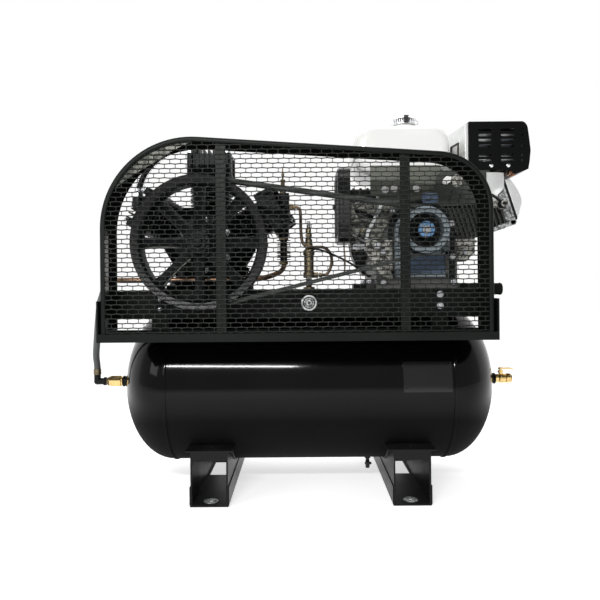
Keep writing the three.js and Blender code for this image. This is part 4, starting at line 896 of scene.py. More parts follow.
def engine_pulley():
    """Grooved pulley with a dished face, its boss and hub, and the shaft's end with screws."""
    centre = (ENGINE_X, DRIVE_Y, ENGINE_Z)
    pulley = Solid()
    grooves = groove_profile(20, PULLEY, 24, lips=1.5)[1:-1]
    pulley.lathe([(20, 12), (DISH, 12), (DISH + 0.5, 10), (DISH + 0.5, -24), *grooves, (20, 24)],
                 centre, Y, 96, True)
    pulley.make("engine_pulley_turned", "painted_iron", "engine_pulley", angle=38)
    # The face's blue-grey ring: painted shade and bluish reflection, as on the cover behind it.
    face = Solid()
    face.lathe([(DISH - 0.2, 11), (DISH - 0.2, -24.3), (PULLEY - 1.4, -24.3), (PULLEY - 1.4, -23.9),
                (DISH + 0.4, -23.9), (DISH + 0.4, 11)], centre, Y, 96, True)
    face.make("engine_pulley_face", "blue_grey_painted_reflection", slot="blue_aluminium", body="engine_pulley",
              bevel=0.2)
    hub = Solid()
    hub.lathe([(9.5, -24.4), (18.6, -24.4), (18.6, -28.6), (17, -30.5), (11, -30.5), (9.5, -29)],
              centre, Y, 56, True)
    boss = Solid()
    boss.lathe([(9.5, 29), (19.4, 29), (19.4, -24), (9.5, -24)], centre, Y, 56, True)
    boss.make("engine_pulley_boss", "painted_iron", slot="black_iron", body="engine_pulley", bevel=0.4)
    hub.make("engine_pulley_hub", "blue_hub_paint", slot="blue_aluminium", body="engine_pulley")
    screws = Solid()
    for k in range(3):
        angle = math.radians(120 * k + 20)
        at = (ENGINE_X + 14 * math.cos(angle), DRIVE_Y - 30.4, ENGINE_Z + 14 * math.sin(angle))
        screws.lathe([(1.4, 1.5), (2.6, 1.5), (2.6, 0), (3, 0), (3, 2.4), (2.4, 3), (1.4, 3)],
                     at, -Y, 20, True)
    screws.bar((ENGINE_X, DRIVE_Y - 31.5, ENGINE_Z), (ENGINE_X, DRIVE_Y - 24, ENGINE_Z), 9.2, 32)
    screws.bar((ENGINE_X, DRIVE_Y + 29.4, ENGINE_Z), (ENGINE_X, -152, ENGINE_Z), 12.7, 40)
    screws.hexagon((ENGINE_X, DRIVE_Y - 31.5, ENGINE_Z), -Y, 12, 4.5, 8)
    screws.make("engine_shaft_and_screws", "ground_steel", "engine_crankshaft", bevel=0.3)


def belt(name, y):
    """V belt as a closed loop: a run on each tangent and a wrap round each wheel."""
    start, end = Vector((PUMP_X, 0, PUMP_Z)), Vector((ENGINE_X, 0, ENGINE_Z))
    gap = end - start
    line, wrap = math.atan2(gap.z, gap.x), math.acos((FLYWHEEL - PULLEY) / gap.length)
    section = [(0.5, -5.4), (0.5, 5.4), (-0.6, 5.5), (-8.5, 3.7), (-8.5, -3.7), (-0.6, -5.5)]
    stations = []
    wraps = ((start, FLYWHEEL, line + wrap, line + 2 * math.pi - wrap, 72),
             (end, PULLEY, line - wrap, line + wrap, 32))
    for centre, radius, first, last, steps in wraps:
        for k in range(steps + 1):
            angle = first + (last - first) * k / steps
            out = Vector((math.cos(angle), 0, math.sin(angle)))
            stations.append((centre + out * radius, out))
    rings, straight, parts = [], 100, 24
    for i, (point, out) in enumerate(stations):
        following = stations[(i + 1) % len(stations)][0]
        spots = [point]
        if (following - point).length > straight:
            spots += [point.lerp(following, k / parts) for k in range(1, parts)]
        rings += [[spot + out * rise + Y * (y + side) for rise, side in section] for spot in spots]
    loop = Solid()
    loop.rings(rings, closed=True)
    loop.make(f"{name}_moulded", "belt_cloth", name, angle=25)


# ---------------------------------------------------------------- pump
def cylinder(name, tilt):
    """Finned barrel, then the head: valve plate, gasket lines, deep fins and bolts in towers."""
    upright = PUMP @ Matrix.Rotation(math.radians(tilt), 4, Y)
    barrel = Solid(upright)
    profile = [(0, PAD + 0.3), (47, PAD + 0.3), (48, PAD + 2), (48, PAD + 8), (44, PAD + 11)]
    fins, pitch, first_fin = 6, 8.2, PAD + 14
    for k in range(fins):
        low = first_fin + pitch * k
        profile += [(43.5, low), (54, low + 0.9), (55, low + 1.6), (54, low + 2.4), (43.5, low + 3.6)]
    profile += [(44, BARREL_TOP), (0, BARREL_TOP)]
    barrel.lathe(profile, (0, CYLINDER_Y, 0), Z, 64)
    barrel.make(f"{name}_barrel_finned", "painted_iron", f"{name}_cylinder", angle=28)
    head = Solid(upright)
    y, base, half = CYLINDER_Y, BARREL_TOP + 0.3, HEAD_HALF
    top = CENTRE_HEAD_TOP if name == "centre" else SIDE_HEAD_TOP + 5
    slab = rounded(-half, half, y - half, y + half, 12)
    head.prism(slab, base, base + 7, "xy")
    head.prism(rounded(-half + 2, half - 2, y - half + 2, y + half - 2, 11), base + 7, base + 8, "xy")
    head.prism(slab, base + 8, base + 22, "xy")
    head.prism(rounded(-half + 8, half - 8, y - half + 6, y + half - 6, 9), base + 22, top - 16, "xy")
    fins, pitch = 9, 12
    for k in range(fins):
        x = (k - fins // 2) * pitch
        trim = 8 if abs(x) > 40 else 0  # the outer fins are cut back at the bolts
        low_y, high_y = y - half + 3 + trim, y + half - 3 - trim
        head.prism([(low_y, base + 21), (high_y, base + 21), (high_y, top - 6), (high_y - 6, top),
                    (low_y + 6, top), (low_y, top - 6)], x - 1.7, x + 1.7, "yz")
    head.prism(rounded(-50, 50, y - 9, y + 9, 6), base + 20, top - 8, "xy")
    spots = list(product((-HEAD_BOLT, HEAD_BOLT), (y - HEAD_BOLT, y + HEAD_BOLT)))
    for spot in spots:
        head.bar((*spot, base + 20), (*spot, top - 10), 9.5, 28, 8.6)
    start, end, radius = {
        "left": ((-190, CYLINDER_Y, 100), (-190, CYLINDER_Y, 132), 15),
        "centre": ((-40, CYLINDER_Y, 226), (-40, CYLINDER_Y, 251), 15),
        "right": ((AFTERCOOLER_X, SIDE_Y, 60), (AFTERCOOLER_X, SIDE_Y, 26), 14),
    }[name]
    head.place = PUMP
    head.bar(start, end, radius, 32)
    if name == "right":
        head.prism(rounded(167, 199, SIDE_Y - 16, SIDE_Y + 16, 5), 90, 136, "xy")
    head.make(f"{name}_head_finned", "painted_iron", f"{name}_head", bevel=0.7, angle=35)
    bolts = Solid(upright)
    for spot in spots:
        bolts.hexagon((*spot, top - 10), Z, 14, 8, 8.4)
    bolts.make(f"{name}_head_bolts", "ground_steel", slot="steel", bevel=0.4)


def pump_body():
    """Crankcase with rounded flanks and ribs, and the bearing cover with its bolts."""
    def extra(solid):
        solid.place = PUMP
        for y in (-100, -45, 10):
            for side in (-1, 1):
                rib = [(92 * side, -50), (74 * side, -96), (70 * side, -96), (86 * side, -50)]
                solid.prism(rib, y - 3, y + 3)
        solid.lathe([(0, 66), (40, 66), (42, 70), (40, 73), (0, 73)], (0, 0, 0), Y, 40)

    refine("pump_crankcase", "pump_enamel", bevel=3.0, segments=3, extra=extra)
    cover = Solid(PUMP)
    cover.lathe([(18.8, -150.4), (69, -150.4), (70, -151.4), (70, -156), (68.5, -157.5), (48, -159),
                 (44, -163), (41, -170), (39, -172), (24, -172), (22, -169), (18.8, -169)],
                (0, 0, 0), Y, 96, True)
    cover.make("bearing_cover_turned", "painted_iron", "front_bearing_cover", angle=28)
    bolts = Solid(PUMP)
    for x, z in circle(59, 6, math.pi / 6):
        bolts.hexagon((x, -158, z), -Y, 12, 6, 8)
    for spot in product((-84, 84), (-124, 29)):
        bolts.hexagon((*spot, DECK_TOP - PUMP_Z + 15), Z, 17, 9, 12)
    bolts.make("pump_bolts", "ground_steel", slot="steel", bevel=0.4)
    glass = Solid(PUMP)
    glass.lathe([(0, 0), (13, 0), (13, 5), (11, 7), (9, 7), (8.6, 5.4), (0, 5.2)], (-60, -150, -62), -Y, 32)
    glass.lathe([(0, 0), (9, 0), (9, 8), (7, 10), (0, 10)], (60, -150, -68), -Y, 6)
    glass.make("oil_level_plugs", "painted_iron", slot="black_iron", bevel=0.4)


def finned_tube(solid, route, radius, fin_radius, pitch, margin):
    """A pipe along a route, with thin discs all along it except near its ends."""
    solid.sweep(route, radius)
    lengths, total = [0], 0
    for a, b in zip(route, route[1:]):
        total += (b - a).length
        lengths.append(total)
    distance = margin
    index = 1
    while distance < total - margin:
        while lengths[index] < distance:
            index += 1
        a, b = route[index - 1], route[index]
        at = a.lerp(b, (distance - lengths[index - 1]) / (lengths[index] - lengths[index - 1]))
        solid.lathe([(0, -0.5), (fin_radius, -0.4), (fin_radius, 0.4), (0, 0.5)], at, b - a, 28)
        distance += pitch


def pump_pipes():
    """Pipe between the heads, finned aftercooler, the copper line under it and the hose to the tank."""
    about = Vector((PUMP_X, 0, PUMP_Z))
    y = CYLINDER_Y
    inter = smooth_route([about + Vector(p) for p in (
        (-190, y, 133), (-190, y, 148), (-176, y, 186), (-158, y, 212), (-132, y, 236), (-104, y, 254),
        (-74, y, 269), (-50, y, 272), (-41, y, 266), (-40, y, 258), (-40, y, 252))], 8)
    pipe = Solid()
    finned_tube(pipe, inter, 7, 10.5, 5, 26)
    pipe.make("intercooler_finned", "painted_iron", "intercooler", angle=40)
    nuts = Solid()
    for at, axis in ((inter[0], Z), (inter[-1], Z)):
        nuts.hexagon(at, axis, 21, 15)
        nuts.lathe([(7, 15), (10, 15), (9, 21), (7, 22)], at, axis, 28, True)
    nuts.make("intercooler_nuts", "zinc_plate", slot="zinc", bevel=0.5)
    after = Solid(PUMP)
    profile = [(0, -40), (9, -40), (9, -34)]
    fins, pitch, first_fin = 10, 5.4, -33
    for k in range(fins):
        low = first_fin + pitch * k
        profile += [(9, low), (17.6, low + 0.6), (18, low + 1.2), (17.6, low + 1.8), (9, low + 2.4)]
    profile += [(9, 22), (11, 22), (11, 25.5), (0, 25.5)]
    after.lathe(profile, (AFTERCOOLER_X, SIDE_Y, 0), Z, 40)
    line = smooth_route([
        (AFTERCOOLER_X, SIDE_Y, -38), (AFTERCOOLER_X, SIDE_Y, -50), (176, -72, -62), (158, -100, -72),
        (132, -136, -80), (100, -157, DISCHARGE_Z),
        *[(x, DISCHARGE_Y, DISCHARGE_Z) for x in (60, -80, -226, -234)]], 8)
    after.make("aftercooler_finned", "painted_fins", "aftercooler", angle=30)
    tube = Solid(PUMP)
    tube.sweep(line, 6.3)
    tube.make("discharge_tube", "rusty_copper", slot="copper")
    ends = Solid(PUMP)
    ends.hexagon((-222, DISCHARGE_Y, DISCHARGE_Z), -X, 17, 10)
    ends.hexagon((-232, DISCHARGE_Y, DISCHARGE_Z), -X, 14, 8)
    ends.hexagon((AFTERCOOLER_X, SIDE_Y, -36), -Z, 20, 9)
    ends.hexagon((AFTERCOOLER_X, SIDE_Y, 24), -Z, 22, 7)
    ends.make("discharge_nuts", "old_brass", slot="brass", bevel=0.4)
    hose, ferrule = Solid(), Solid()
    route = smooth_route([
        (-484, DISCHARGE_Y, 527), (-488.5, DISCHARGE_Y, 525), (-490.5, -161, 517), (-493, -156, 506),
        (-501, -144, 492), (-513, -126, 472), (-526, -98, 440), (-544, -58, 385), (-560, -20, 335),
        (HOSE_X, -2, 308), (HOSE_X, 0, 296), (HOSE_X, 0, HOSE_END_Z + 0.6)], 8)
    hose.sweep(route, 8.4)
    for k in range(4):
        low = HOSE_END_Z - 4 + 3.8 * k
        ferrule.lathe([(7, 0), (10, 0.6), (10, 3), (7, 3.6)], (HOSE_X, 0, low), Z, 28, True)
    hose.lathe([(0, 0), (9, 0), (9, 10), (8.2, 11), (0, 11)], (-490.4, -161.5, 518), (-0.12, 0.06, -1), 28)
    ferrule.make("hose_ferrule", "old_brass", slot="brass")
    hose.make("discharge_hose_rubber", "hose_rubber", "discharge_hose", angle=35)


def valves():
    """Safety valve with its ring, pilot valve with its lever, the thin copper line and the cable."""
    x, top, tube_top, tube_foot = 183, 136.3, 102, -72
    safety = Solid(PUMP)
    safety.hexagon((x, SIDE_Y, top), Z, 15, 12)
    safety.lathe([(0, 11), (6.5, 11), (6.5, 15), (5.4, 16), (5.4, 30), (6.6, 31), (6.6, 35), (4, 36.5),
                  (2.2, 37), (2.2, 46), (0, 46)], (x, SIDE_Y, top), Z, 32)
    safety.make("safety_valve_brass", "old_brass", "safety_valve", bevel=0.4)
    ring = Solid(PUMP)
    ring.lathe([(0, 0), (4, 0), (4, 3.5), (2.6, 5), (0, 5)], (x, SIDE_Y, top + 46.3), Z, 24)
    hoop_route = [(x, SIDE_Y + u, top + 58 + v) for u, v in circle(8, 32)]
    ring.sweep(hoop_route, 1.4, closed=True)
    ring.make("safety_ring_wire", "old_brass", "safety_valve_ring")
    px, floor = 248, DECK_TOP + 0.3 - PUMP_Z
    pilot = Solid(PUMP)
    pilot.hexagon((px, SIDE_Y, floor), Z, 26, 7)
    thread(pilot, (px, SIDE_Y, floor + 7), Z, 8, 23)
    pilot.lathe([(0, -79), (13, -79), (14.6, -77), (14.6, -66), (12.4, -63), (12.4, -22), (14.8, -20),
                 (14.8, -11), (12, -8), (9, -5), (9, 18), (6.4, 22), (6.4, 44), (5, 50), (0, 50)],
                (px, SIDE_Y, 0), Z, 44)
    pilot.hexagon((px, SIDE_Y, 0), Z, 19, 8)
    pilot.hexagon((px, SIDE_Y, 26), Z, 15, 7)
    pilot.bar((px, SIDE_Y, tube_foot), (px + 17, SIDE_Y, tube_foot), 7)
    pilot.hexagon((px + 14, SIDE_Y, tube_foot), X, 13, 9.6)
    pilot.make("pilot_valve_brass", "old_brass", "pilot_valve", bevel=0.4)
    lever = Solid(PUMP)
    lever.lathe([(0, 0), (5, 0), (5, 6.5), (3.6, 8), (0, 8)], (px, SIDE_Y, 50.3), Z, 24)
    lever.bar((px, SIDE_Y - 3, 54.5), (px, SIDE_Y - 28, 59), 2, 20, 2.8)
    lever.lathe([(0, -4.4), (3, -3.4), (4.4, 0), (3, 3.4), (0, 4.4)], (px, SIDE_Y - 30, 59.4), Y, 20)
    lever.make("pilot_lever_plated", "zinc_plate", "pilot_lever", bevel=0.3)
    start = x + 16.3
    line = Solid(PUMP)
    line.sweep(smooth_route([
        (start + 10, SIDE_Y, tube_top), (start + 22, SIDE_Y, 100), (start + 28, SIDE_Y, 88),
        (start + 29, SIDE_Y - 14, 40), (start + 34, SIDE_Y - 24, 8), (start + 52, SIDE_Y - 25, -2),
        (start + 86, SIDE_Y - 20, -3), (start + 104, SIDE_Y - 10, -20), (start + 106, SIDE_Y, -46),
        (start + 96, SIDE_Y, -68), (start + 84, SIDE_Y, tube_foot), (px + 24.6, SIDE_Y, tube_foot)], 8), 3.9)
    line.make("unloader_tube_copper", "old_copper", "unloader_tube")
    ends = Solid(PUMP)
    ends.hexagon((start, SIDE_Y, tube_top), X, 15, 9)
    ends.hexagon((start + 9, SIDE_Y, tube_top), X, 11, 7)
    ends.hexagon((px + 33, SIDE_Y, tube_foot), -X, 11, 8)
    ends.make("unloader_nuts", "old_brass", slot="brass", bevel=0.3)
    cx, cz = PUMP_X + px, PUMP_Z
    cable = Solid()
    cable.sweep(smooth_route([
        (cx + 3, SIDE_Y - 17, cz - 14), (cx + 16, -100, cz - 8), (cx + 50, -101, cz - 18),
        (cx + 100, -96, cz - 42), (cx + 135, -86, cz - 66), (ENGINE_X - 110, -80, cz - 76),
        (ENGINE_X - 103, -80, cz - 76)], 8), 2.5)
    cable.make("throttle_cable_sleeved", "black_rubber", "throttle_cable")


def intake_filters():
    """Ribbed canisters behind the outer heads."""
    back = CYLINDER_Y + HEAD_HALF + 0.3
    ribs, pitch, first_rib = 8, 4.2, 21
    for name, x, z in (("left", -175, 101), ("right", 150, 88)):
        filter_ = Solid(PUMP)
        profile = [(0, back), (14, back), (14, back + 15), (33, back + 16), (35, back + 18)]
        for k in range(ribs):
            low = back + first_rib + pitch * k
            profile += [(36, low), (36, low + 2), (34.4, low + 2.6), (34.4, low + 3.8)]
        profile += [(35, back + 56), (30, back + 62), (6, back + 62), (5, back + 63), (0, back + 63)]
        filter_.lathe(profile, (x, 0, z), Y, 56)
        filter_.make(f"{name}_filter_canister", "black_plastic", f"{name}_intake_filter", angle=35)


# ---------------------------------------------------------------- engine
def crankcase():
    """Dark casting, with the brighter castings and the bracket that stand on its front."""
    def extra(solid):
        solid.place = ENGINE
        for z in (-112, -92, -72):
            solid.prism([(-103, z), (-64, z + 6), (-64, z + 12), (-103, z + 6)], -169, CASE_FRONT)
        for x, z in CASE_BOLTS:
            solid.bar((x, CASE_FRONT, z), (x, CASE_FRONT - 7, z), 9, 20)
        for x in (-90, -50, -10, 30, 70):
            low = 66 if abs(x) < 40 else -60
            solid.block(x - 3, x + 3, -120, 60, low, low + 10)

    refine("engine_crankcase", "grimy_casting", bevel=2.5, segments=3, extra=extra)
    casting = Solid(ENGINE)
    casting.prism([(-126, -16), (-129, -38), (-104, -76), (-90, -100), (-62, -110), (-62, -16)], -170, -163)
    for z in (-34, -54, -74):
        casting.prism([(-122, z), (-64, z - 8), (-64, z - 3), (-120, z + 5)], -173, -169)
    casting.bar((-98, -169, -30), (-98, -176, -30), 12, 28, 10.5)
    casting.bar((-74, -169, -92), (-74, -175, -92), 9, 28, 8)
    casting.prism([(91, -64), (126, -64), (146, -44), (146, -12), (91, -12)], -121, -76)
    casting.prism([(96, -30), (150, -22), (150, -14), (96, -20)], -127, -120)
    casting.prism([(100, -58), (122, -58), (140, -36), (120, -36)], -125, -120)
    casting.bar((118, -120, -42), (118, -130, -42), 10, 28, 9)
    casting.make("crankcase_castings", "oily_casting", slot="cast_aluminium", bevel=1.6, segments=3)
    base = Solid(ENGINE)
    for left, right in ((92, 168), (-150, -90)):
        base.block(left, right, -112, -64, DECK_TOP - ENGINE_Z + 0.4, -121)
    base.make("engine_mount_bars", "frame_paint", slot="black_satin", bevel=1.2)
    bracket = Solid(ENGINE)
    bracket.prism([(-90, 68), (-54, 71), (-62, 50), (-98, -14), (-128, -14), (-124, 0)], -176, -172)
    bracket.prism([(-54, 71), (-50, 71), (-58, 50), (-94, -14), (-98, -14), (-62, 50)], -176, -164)
    bracket.make("control_bracket", "shaded_casting", slot="cast_aluminium", bevel=0.8)
    edge = Solid(ENGINE)
    edge.prism([(-92, 68), (-83, 68), (-117, 0), (-121, -14), (-129, -14), (-125, 1)], -177.5, -171)
    edge.make("control_bracket_edge", "clean_casting", slot="cast_aluminium", bevel=0.6)
    arm = Solid(ENGINE)
    arm.prism([(-129, -34), (-152, -60), (-146, -66), (-124, -52)], -160, -156)
    arm.prism([(-150, 52), (-96, 30), (-92, 38), (-148, 62)], -158, -154)
    arm.bar((-132, -158, -44), (-100, -158, -40), 5, 16)
    arm.make("governor_arm", "frame_paint", slot="black_satin", bevel=0.8)
    bolts = Solid(ENGINE)
    for x, z in CASE_BOLTS:
        bolts.hexagon((x, CASE_FRONT - 7, z), -Y, 10, 5, 6.4)
    bolts.hexagon((-98, -176, -30), -Y, 14, 6)
    bolts.hexagon((118, -130, -42), -Y, 12, 5)
    for spot in product((-108, 101), (-100, 60)):
        bolts.hexagon((*spot, DECK_TOP - ENGINE_Z + 15), Z, 14, 8, 10)
    bolts.lathe([(0, 0), (9, 0), (9, 7), (7, 10), (0, 10)], (-116, CASE_FRONT, -8), -Y, 24)
    bolts.make("engine_bolts", "zinc_plate", slot="zinc", bevel=0.3)
    # Domed cream heads: painted glints for the bright spots of the zinc bolts on the cowl.
    heads = Solid(ENGINE)
    for x, z in ((-64, 119), (-40, 122), (16, 122)):
        heads.lathe([(0, 0), (9.6, 0), (9.6, 4), (8, 6), (0, 6.6)], (x, -63, z), -Y, 24)
    heads.make("cowl_bolts_painted_glint", "cream_paint", slot="zinc", bevel=0.3)


def pto_cover():
    """Arched cover: raised rim, seal boss, ledge, the sunk lower panel, side rib, painted shadow round it,
    and screws.
    """
    back, middle = -165.3, 7

    def arch(radius, foot):
        """Half circle on straight legs that end at foot."""
        return [(middle - radius, foot), (middle + radius, foot), *arc(middle, 0, radius, 0, 180, 36)]

    # The cover's blue-grey is painted shade and bluish reflection on bare aluminium.
    cover = Solid(ENGINE)
    cover.prism(arch(64, -38), back - 14, back, holes=[circle(44, 48)])
    cover.prism(arch(64, -38), back - 18, back - 14, holes=[arch(57, -32)])
    cover.lathe([(14.2, -8), (44.6, -8), (44.6, -10), (30, -12), (26, -14), (24.4, -22), (22, -22.5),
                 (18, -22), (17, -18), (14.2, -18)], (0, back, 0), Y, 64, True)
    cover.prism([(-30, -104), (62, -104), (62, -37), (-30, -37)], back - 8, back)
    cover.prism([(-56, -104), (-40, -104), (-40, -37), (-56, -37)], back - 11, back)
    cover.prism([(-42, -104), (-28, -104), (-28, -48), (-42, -48)], back - 6, back)
    for low, high in ((-104, -96), (-51, -38)):
        cover.prism([(-30, low), (68, low), (68, high), (-30, high)], back - 13, back)
    cover.prism([(61, -104), (69, -104), (69, -37), (61, -37)], back - 13, back)
    cover.block(-34, 70, back - 21, back - 13, -45, -38)
    for x, z in COVER_SCREWS:
        cover.bar((x, back - 13, z), (x, back - 20, z), 7, 24, 6.4)
    cover.make("pto_cover_cast", "blue_grey_painted_reflection", "pto_cover", bevel=1.0, segments=3)
    # The darker slate blue of these pieces is painted shade and bluish reflection on bare aluminium.
    panel = Solid(ENGINE)
    panel.prism(rounded(-26, 60, -95, -53, 4), back - 9.4, back - 7.6)
    panel.prism(rounded(9, 46, 70, 94, 6), back - 10, back - 1)
    panel.bar((22, back - 9, 82), (22, back - 14, 82), 7, 24)
    rib = Solid(ENGINE)
    rib.prism([(60.6, -97), (69.4, -97), (69.4, -51), (60.6, -51)], back - 13.6, back)
    rib.make("pto_side_rib", "grimy_casting", slot="black_iron", bevel=0.6)
    panel.make("pto_lower_panel", "slate_blue_painted_shade", slot="blue_aluminium", bevel=0.5)
    # Black band round the arch and a black disc on the ledge: painted shadow in the gap round the cover and
    # in the ledge's hole.
    dark = Solid(ENGINE)
    foot, opening = -108, arch(65.5, 0)[2:]
    dark.prism([*arch(79, foot)[1:], (-72, foot), (-58, foot), *reversed(opening), (72.5, foot)],
               back - 1.2, back + 0.2)
    dark.lathe([(0, 0), (4.6, 0), (4.6, 1.2), (0, 1.2)], (53, back - 21, -44), -Y, 24)
    dark.make("pto_gap_painted_shadow", "black_rubber", slot="black_rubber")
    screws = Solid(ENGINE)
    for x, z in COVER_SCREWS:
        screws.hexagon((x, back - 20, z), -Y, 8, 4)
    screws.make("pto_screws", "zinc_plate", slot="zinc", bevel=0.3)


def engine_cylinder():
    """Fins, head with its gasket, and the spark plug's boot with its lead and hexagon."""
    fins = Solid(SLANTED)
    fins.block(88.4, 262, -58, 38, -46, 46)
    plate = [(-73, -38), (-68, -50), (-55, -56), (35, -56), (48, -50), (53, -38), (53, 48), (48, 60),
             (35, 66), (-55, 66), (-68, 60), (-73, 48)]
    count, pitch, first, thickness = 13, 11.4, 99, 3
    for k in range(count):
        low = first + pitch * k
        fins.prism(plate, low, low + thickness, "yz")
    fins.make("engine_cylinder_fins", "fin_paint", "engine_cylinder", bevel=0.8)
    head = Solid(SLANTED)
    head.prism(rounded(-66, 46, -53, 65, 14, 6), 262, 267.5, "yz")
    head.prism(rounded(-62, 42, -49, 61, 14, 6), 244, 262, "yz")
    for k in range(4):
        head.prism(rounded(-70, 48, -40 + 26 * k, -35 + 26 * k, 2, 3), 243, 263, "yz")
    head.prism([(206, -54), (262, -55), (268, -48), (262, -42), (206, -45)], -70, 44)
    head.bar((258, -70, -46), (258, -60, -46), 8, 24)
    head.bar((222, -72, -49), (222, -60, -49), 6, 24)
    head.make("engine_head_cast", "clean_casting", slot="cast_aluminium", bevel=1.2, segments=3)
    gasket = Solid(SLANTED)
    gasket.prism(rounded(-68, 48, -46, 63.5, 14, 6), 267.2, 272.6, "yz")
    gasket.make("rocker_gasket", "black_rubber", slot="black_rubber", bevel=0.6)
    plug = Solid(SLANTED)
    plug.lathe([(0, -52), (9, -52), (9, -88), (11, -90), (11.4, -93), (9, -96), (8, -97), (8, -104),
                (6.4, -107.6), (0, -108)], (238, 0, 4), Y, 28)
    lead = [(238, -100, 4), (230, -102, 16), (216, -98, 36), (196, -84, 56), (170, -70, 66)]
    plug.sweep(smooth_route(lead, 8), 3.4)
    plug.make("spark_plug_boot", "black_rubber", slot="black_rubber")
    terminal = Solid(SLANTED)
    terminal.hexagon((238, -70, 4), -Y, 22, 12)
    terminal.lathe([(4.5, 0), (8.2, 0), (8.2, 1.6), (4.5, 1.6)], (238, -107, 4), -Y, 24, True)
    terminal.make("spark_plug_hexagon", "oily_casting", slot="zinc", bevel=0.4)


def rocker_cover():
    """Pressed cover on the head's end, with its four bolts."""
    cover = Solid(SLANTED)
    dome = [(272.4, -44), (276, -38), (280, -31), (285, -23), (290, -16), (294.5, -9), (297, -2), (298, 5),
            (297.4, 15), (296, 25), (293, 38), (289, 50), (286, 57), (282, 61), (272.4, 62)]
    cover.prism(dome, -67, 47)
    cover.make("rocker_cover_cast", "aluminised_plate", "rocker_cover", bevel=8, segments=5, angle=45)
    bolts = Solid(SLANTED)
    for y, (x, z) in product((-50, 30), ((279, -28), (286, 48))):
        bolts.hexagon((x, y, z), X, 10, 6, 7)
    bolts.make("rocker_bolts", "zinc_plate", slot="zinc", bevel=0.3)


def cowl():
    """Grey box over the fins in painted shade, a grey sheet of painted shade on the fuel tank, what is bolted
    to its front, and the bright skirt bent round it.
    """
    slant = math.radians(ENGINE_SLANT)

    def under(distance, rise=70):
        """A point of the box's lower edge, so far along the cylinder and above its axis."""
        return (distance * math.cos(slant) - rise * math.sin(slant),
                distance * math.sin(slant) + rise * math.cos(slant))

    # The box's dark olive grey is grey sheet darkened for the shade behind the mesh and under the hoop:
    # painted shade.
    box = Solid(ENGINE)
    box.prism([(-76, 73), (18, 73), under(50), under(250), (226, 164), (150, 160), (-52, 160), (-76, 136)],
              -56, 88)
    box.prism(rounded(-62, 30, 84, 110, 8), -58.5, -55)
    box.prism([(48, 96), (70, 100), (70, 150), (48, 150)], -59, -55)
    box.make("cowl_box", "grey_sheet_painted_shade", "cylinder_cowl", bevel=3, segments=3)
    # Ribbed grey sheet across the fuel tank's lower front: painted shade where the tank lies in the hoop's
    # shadow.
    tank_shade_sheet = Solid(ENGINE)
    tank_shade_sheet.prism([(-101, 104), (-30, 104), (-30, 118), (78, 118), (78, 182), (-101, 182)], -62.6, -60.6)
    for z in (132, 148, 164):
        tank_shade_sheet.prism(rounded(-96, 72, z - 2.4, z + 2.4, 2.3, 4), -64, -62.4)
    tank_shade_sheet.make("fuel_tank_painted_shade", "grey_sheet_painted_shade", slot="black_satin", bevel=0.7)
    duct = Solid(ENGINE)
    duct.prism(rounded(-156, -84, 92, 124, 10), -48, 10)
    for x in (-146, -128, -110):
        duct.prism(rounded(x, x + 7, 89, 127, 3), -51, 12)
    duct.make("intake_duct", "black_plastic", slot="black_plastic", bevel=1.5)
    manifold = Solid(ENGINE)
    manifold.prism(rounded(-158, -86, 40, 93, 9), -46, 6)
    for x, z in ((-146, 52), (-146, 80), (-98, 52), (-98, 80)):
        manifold.bar((x, -45, z), (x, -52, z), 8, 24, 7)
    manifold.bar((-122, -45, 66), (-122, -56, 66), 15, 32, 13)
    manifold.make("intake_manifold", "shaded_casting", slot="cast_aluminium", bevel=1.5)
    baffle = Solid(ENGINE)
    baffle.prism([(64, 74), (192, 80), (206, 100), (200, 166), (78, 166), (64, 150)], -74, -71.5)
    for k in range(4):
        x = 96 + 24 * k
        baffle.prism([(x, 84), (x + 5, 84), (x + 16, 118), (x + 11, 118)], -77, -73.8)
    baffle.make("cylinder_baffle", "fin_paint", slot="black_satin", bevel=0.8)
    lug = Solid(ENGINE)
    lug.prism([(78, 132), (88, 128), (101, 137), (103, 150), (92, 153), (80, 142)], -82, -76)
    lug.make("lifting_lug", "cream_paint", slot="zinc", bevel=1.5, segments=3)
    boss = Solid(ENGINE)
    boss.lathe([(0, 0), (16, 0), (16, 8), (14, 10), (11, 10), (10, 7), (5, 7), (4, 12), (0, 12)],
               (115, -74, 138), -Y, 36)
    boss.make("flange_boss", "oily_casting", slot="cast_aluminium", bevel=0.5)
    skirt = Solid(ENGINE)
    levels = [(70, 205, 214), (76, 198, 216.5), (82, 195, 219), (92, 194, 220), (98, 192, 220.5),
              (104, 190, 221), (109, 190, 226), (115, 190, 232), (122, 190, 236), (134, 190, 237),
              (148, 190, 237), (159, 190, 236)]
    rings = []
    steps, turned = 12, 30
    for z, left, edge in levels:
        front, rear = [], []
        for k in range(steps + 1):
            x = left + (edge - left) * k / steps
            bend = max(0, (x - (edge - turned)) / turned)
            y = -80 + 9 * bend ** 2 + 3 * max(0, (150 - x) / 72) ** 2
            front.append((x, y, z))
            rear.append((x, y + 1.8, z))
        rings.append([*front, *reversed(rear)])
    skirt.rings(rings)
    skirt.prism([(192, 148), (214, 148), (214, 159), (192, 159)], -76, -50)
    skirt.make("cowl_skirt", "aluminised_plate", slot="cast_aluminium", angle=40)
    pipe = Solid(ENGINE)
    pipe.sweep(smooth_route([(243, -46, 172), (243.5, -46, 160), (242, -46, 150), (236, -46, 138)], 6), 5.8)
    pipe.lathe([(0, 0), (9, 0), (9, 3), (0, 3)], (243, -46, 164), Z, 28)
    pipe.make("exhaust_elbow", "burnt_pipe", slot="black_pipe")


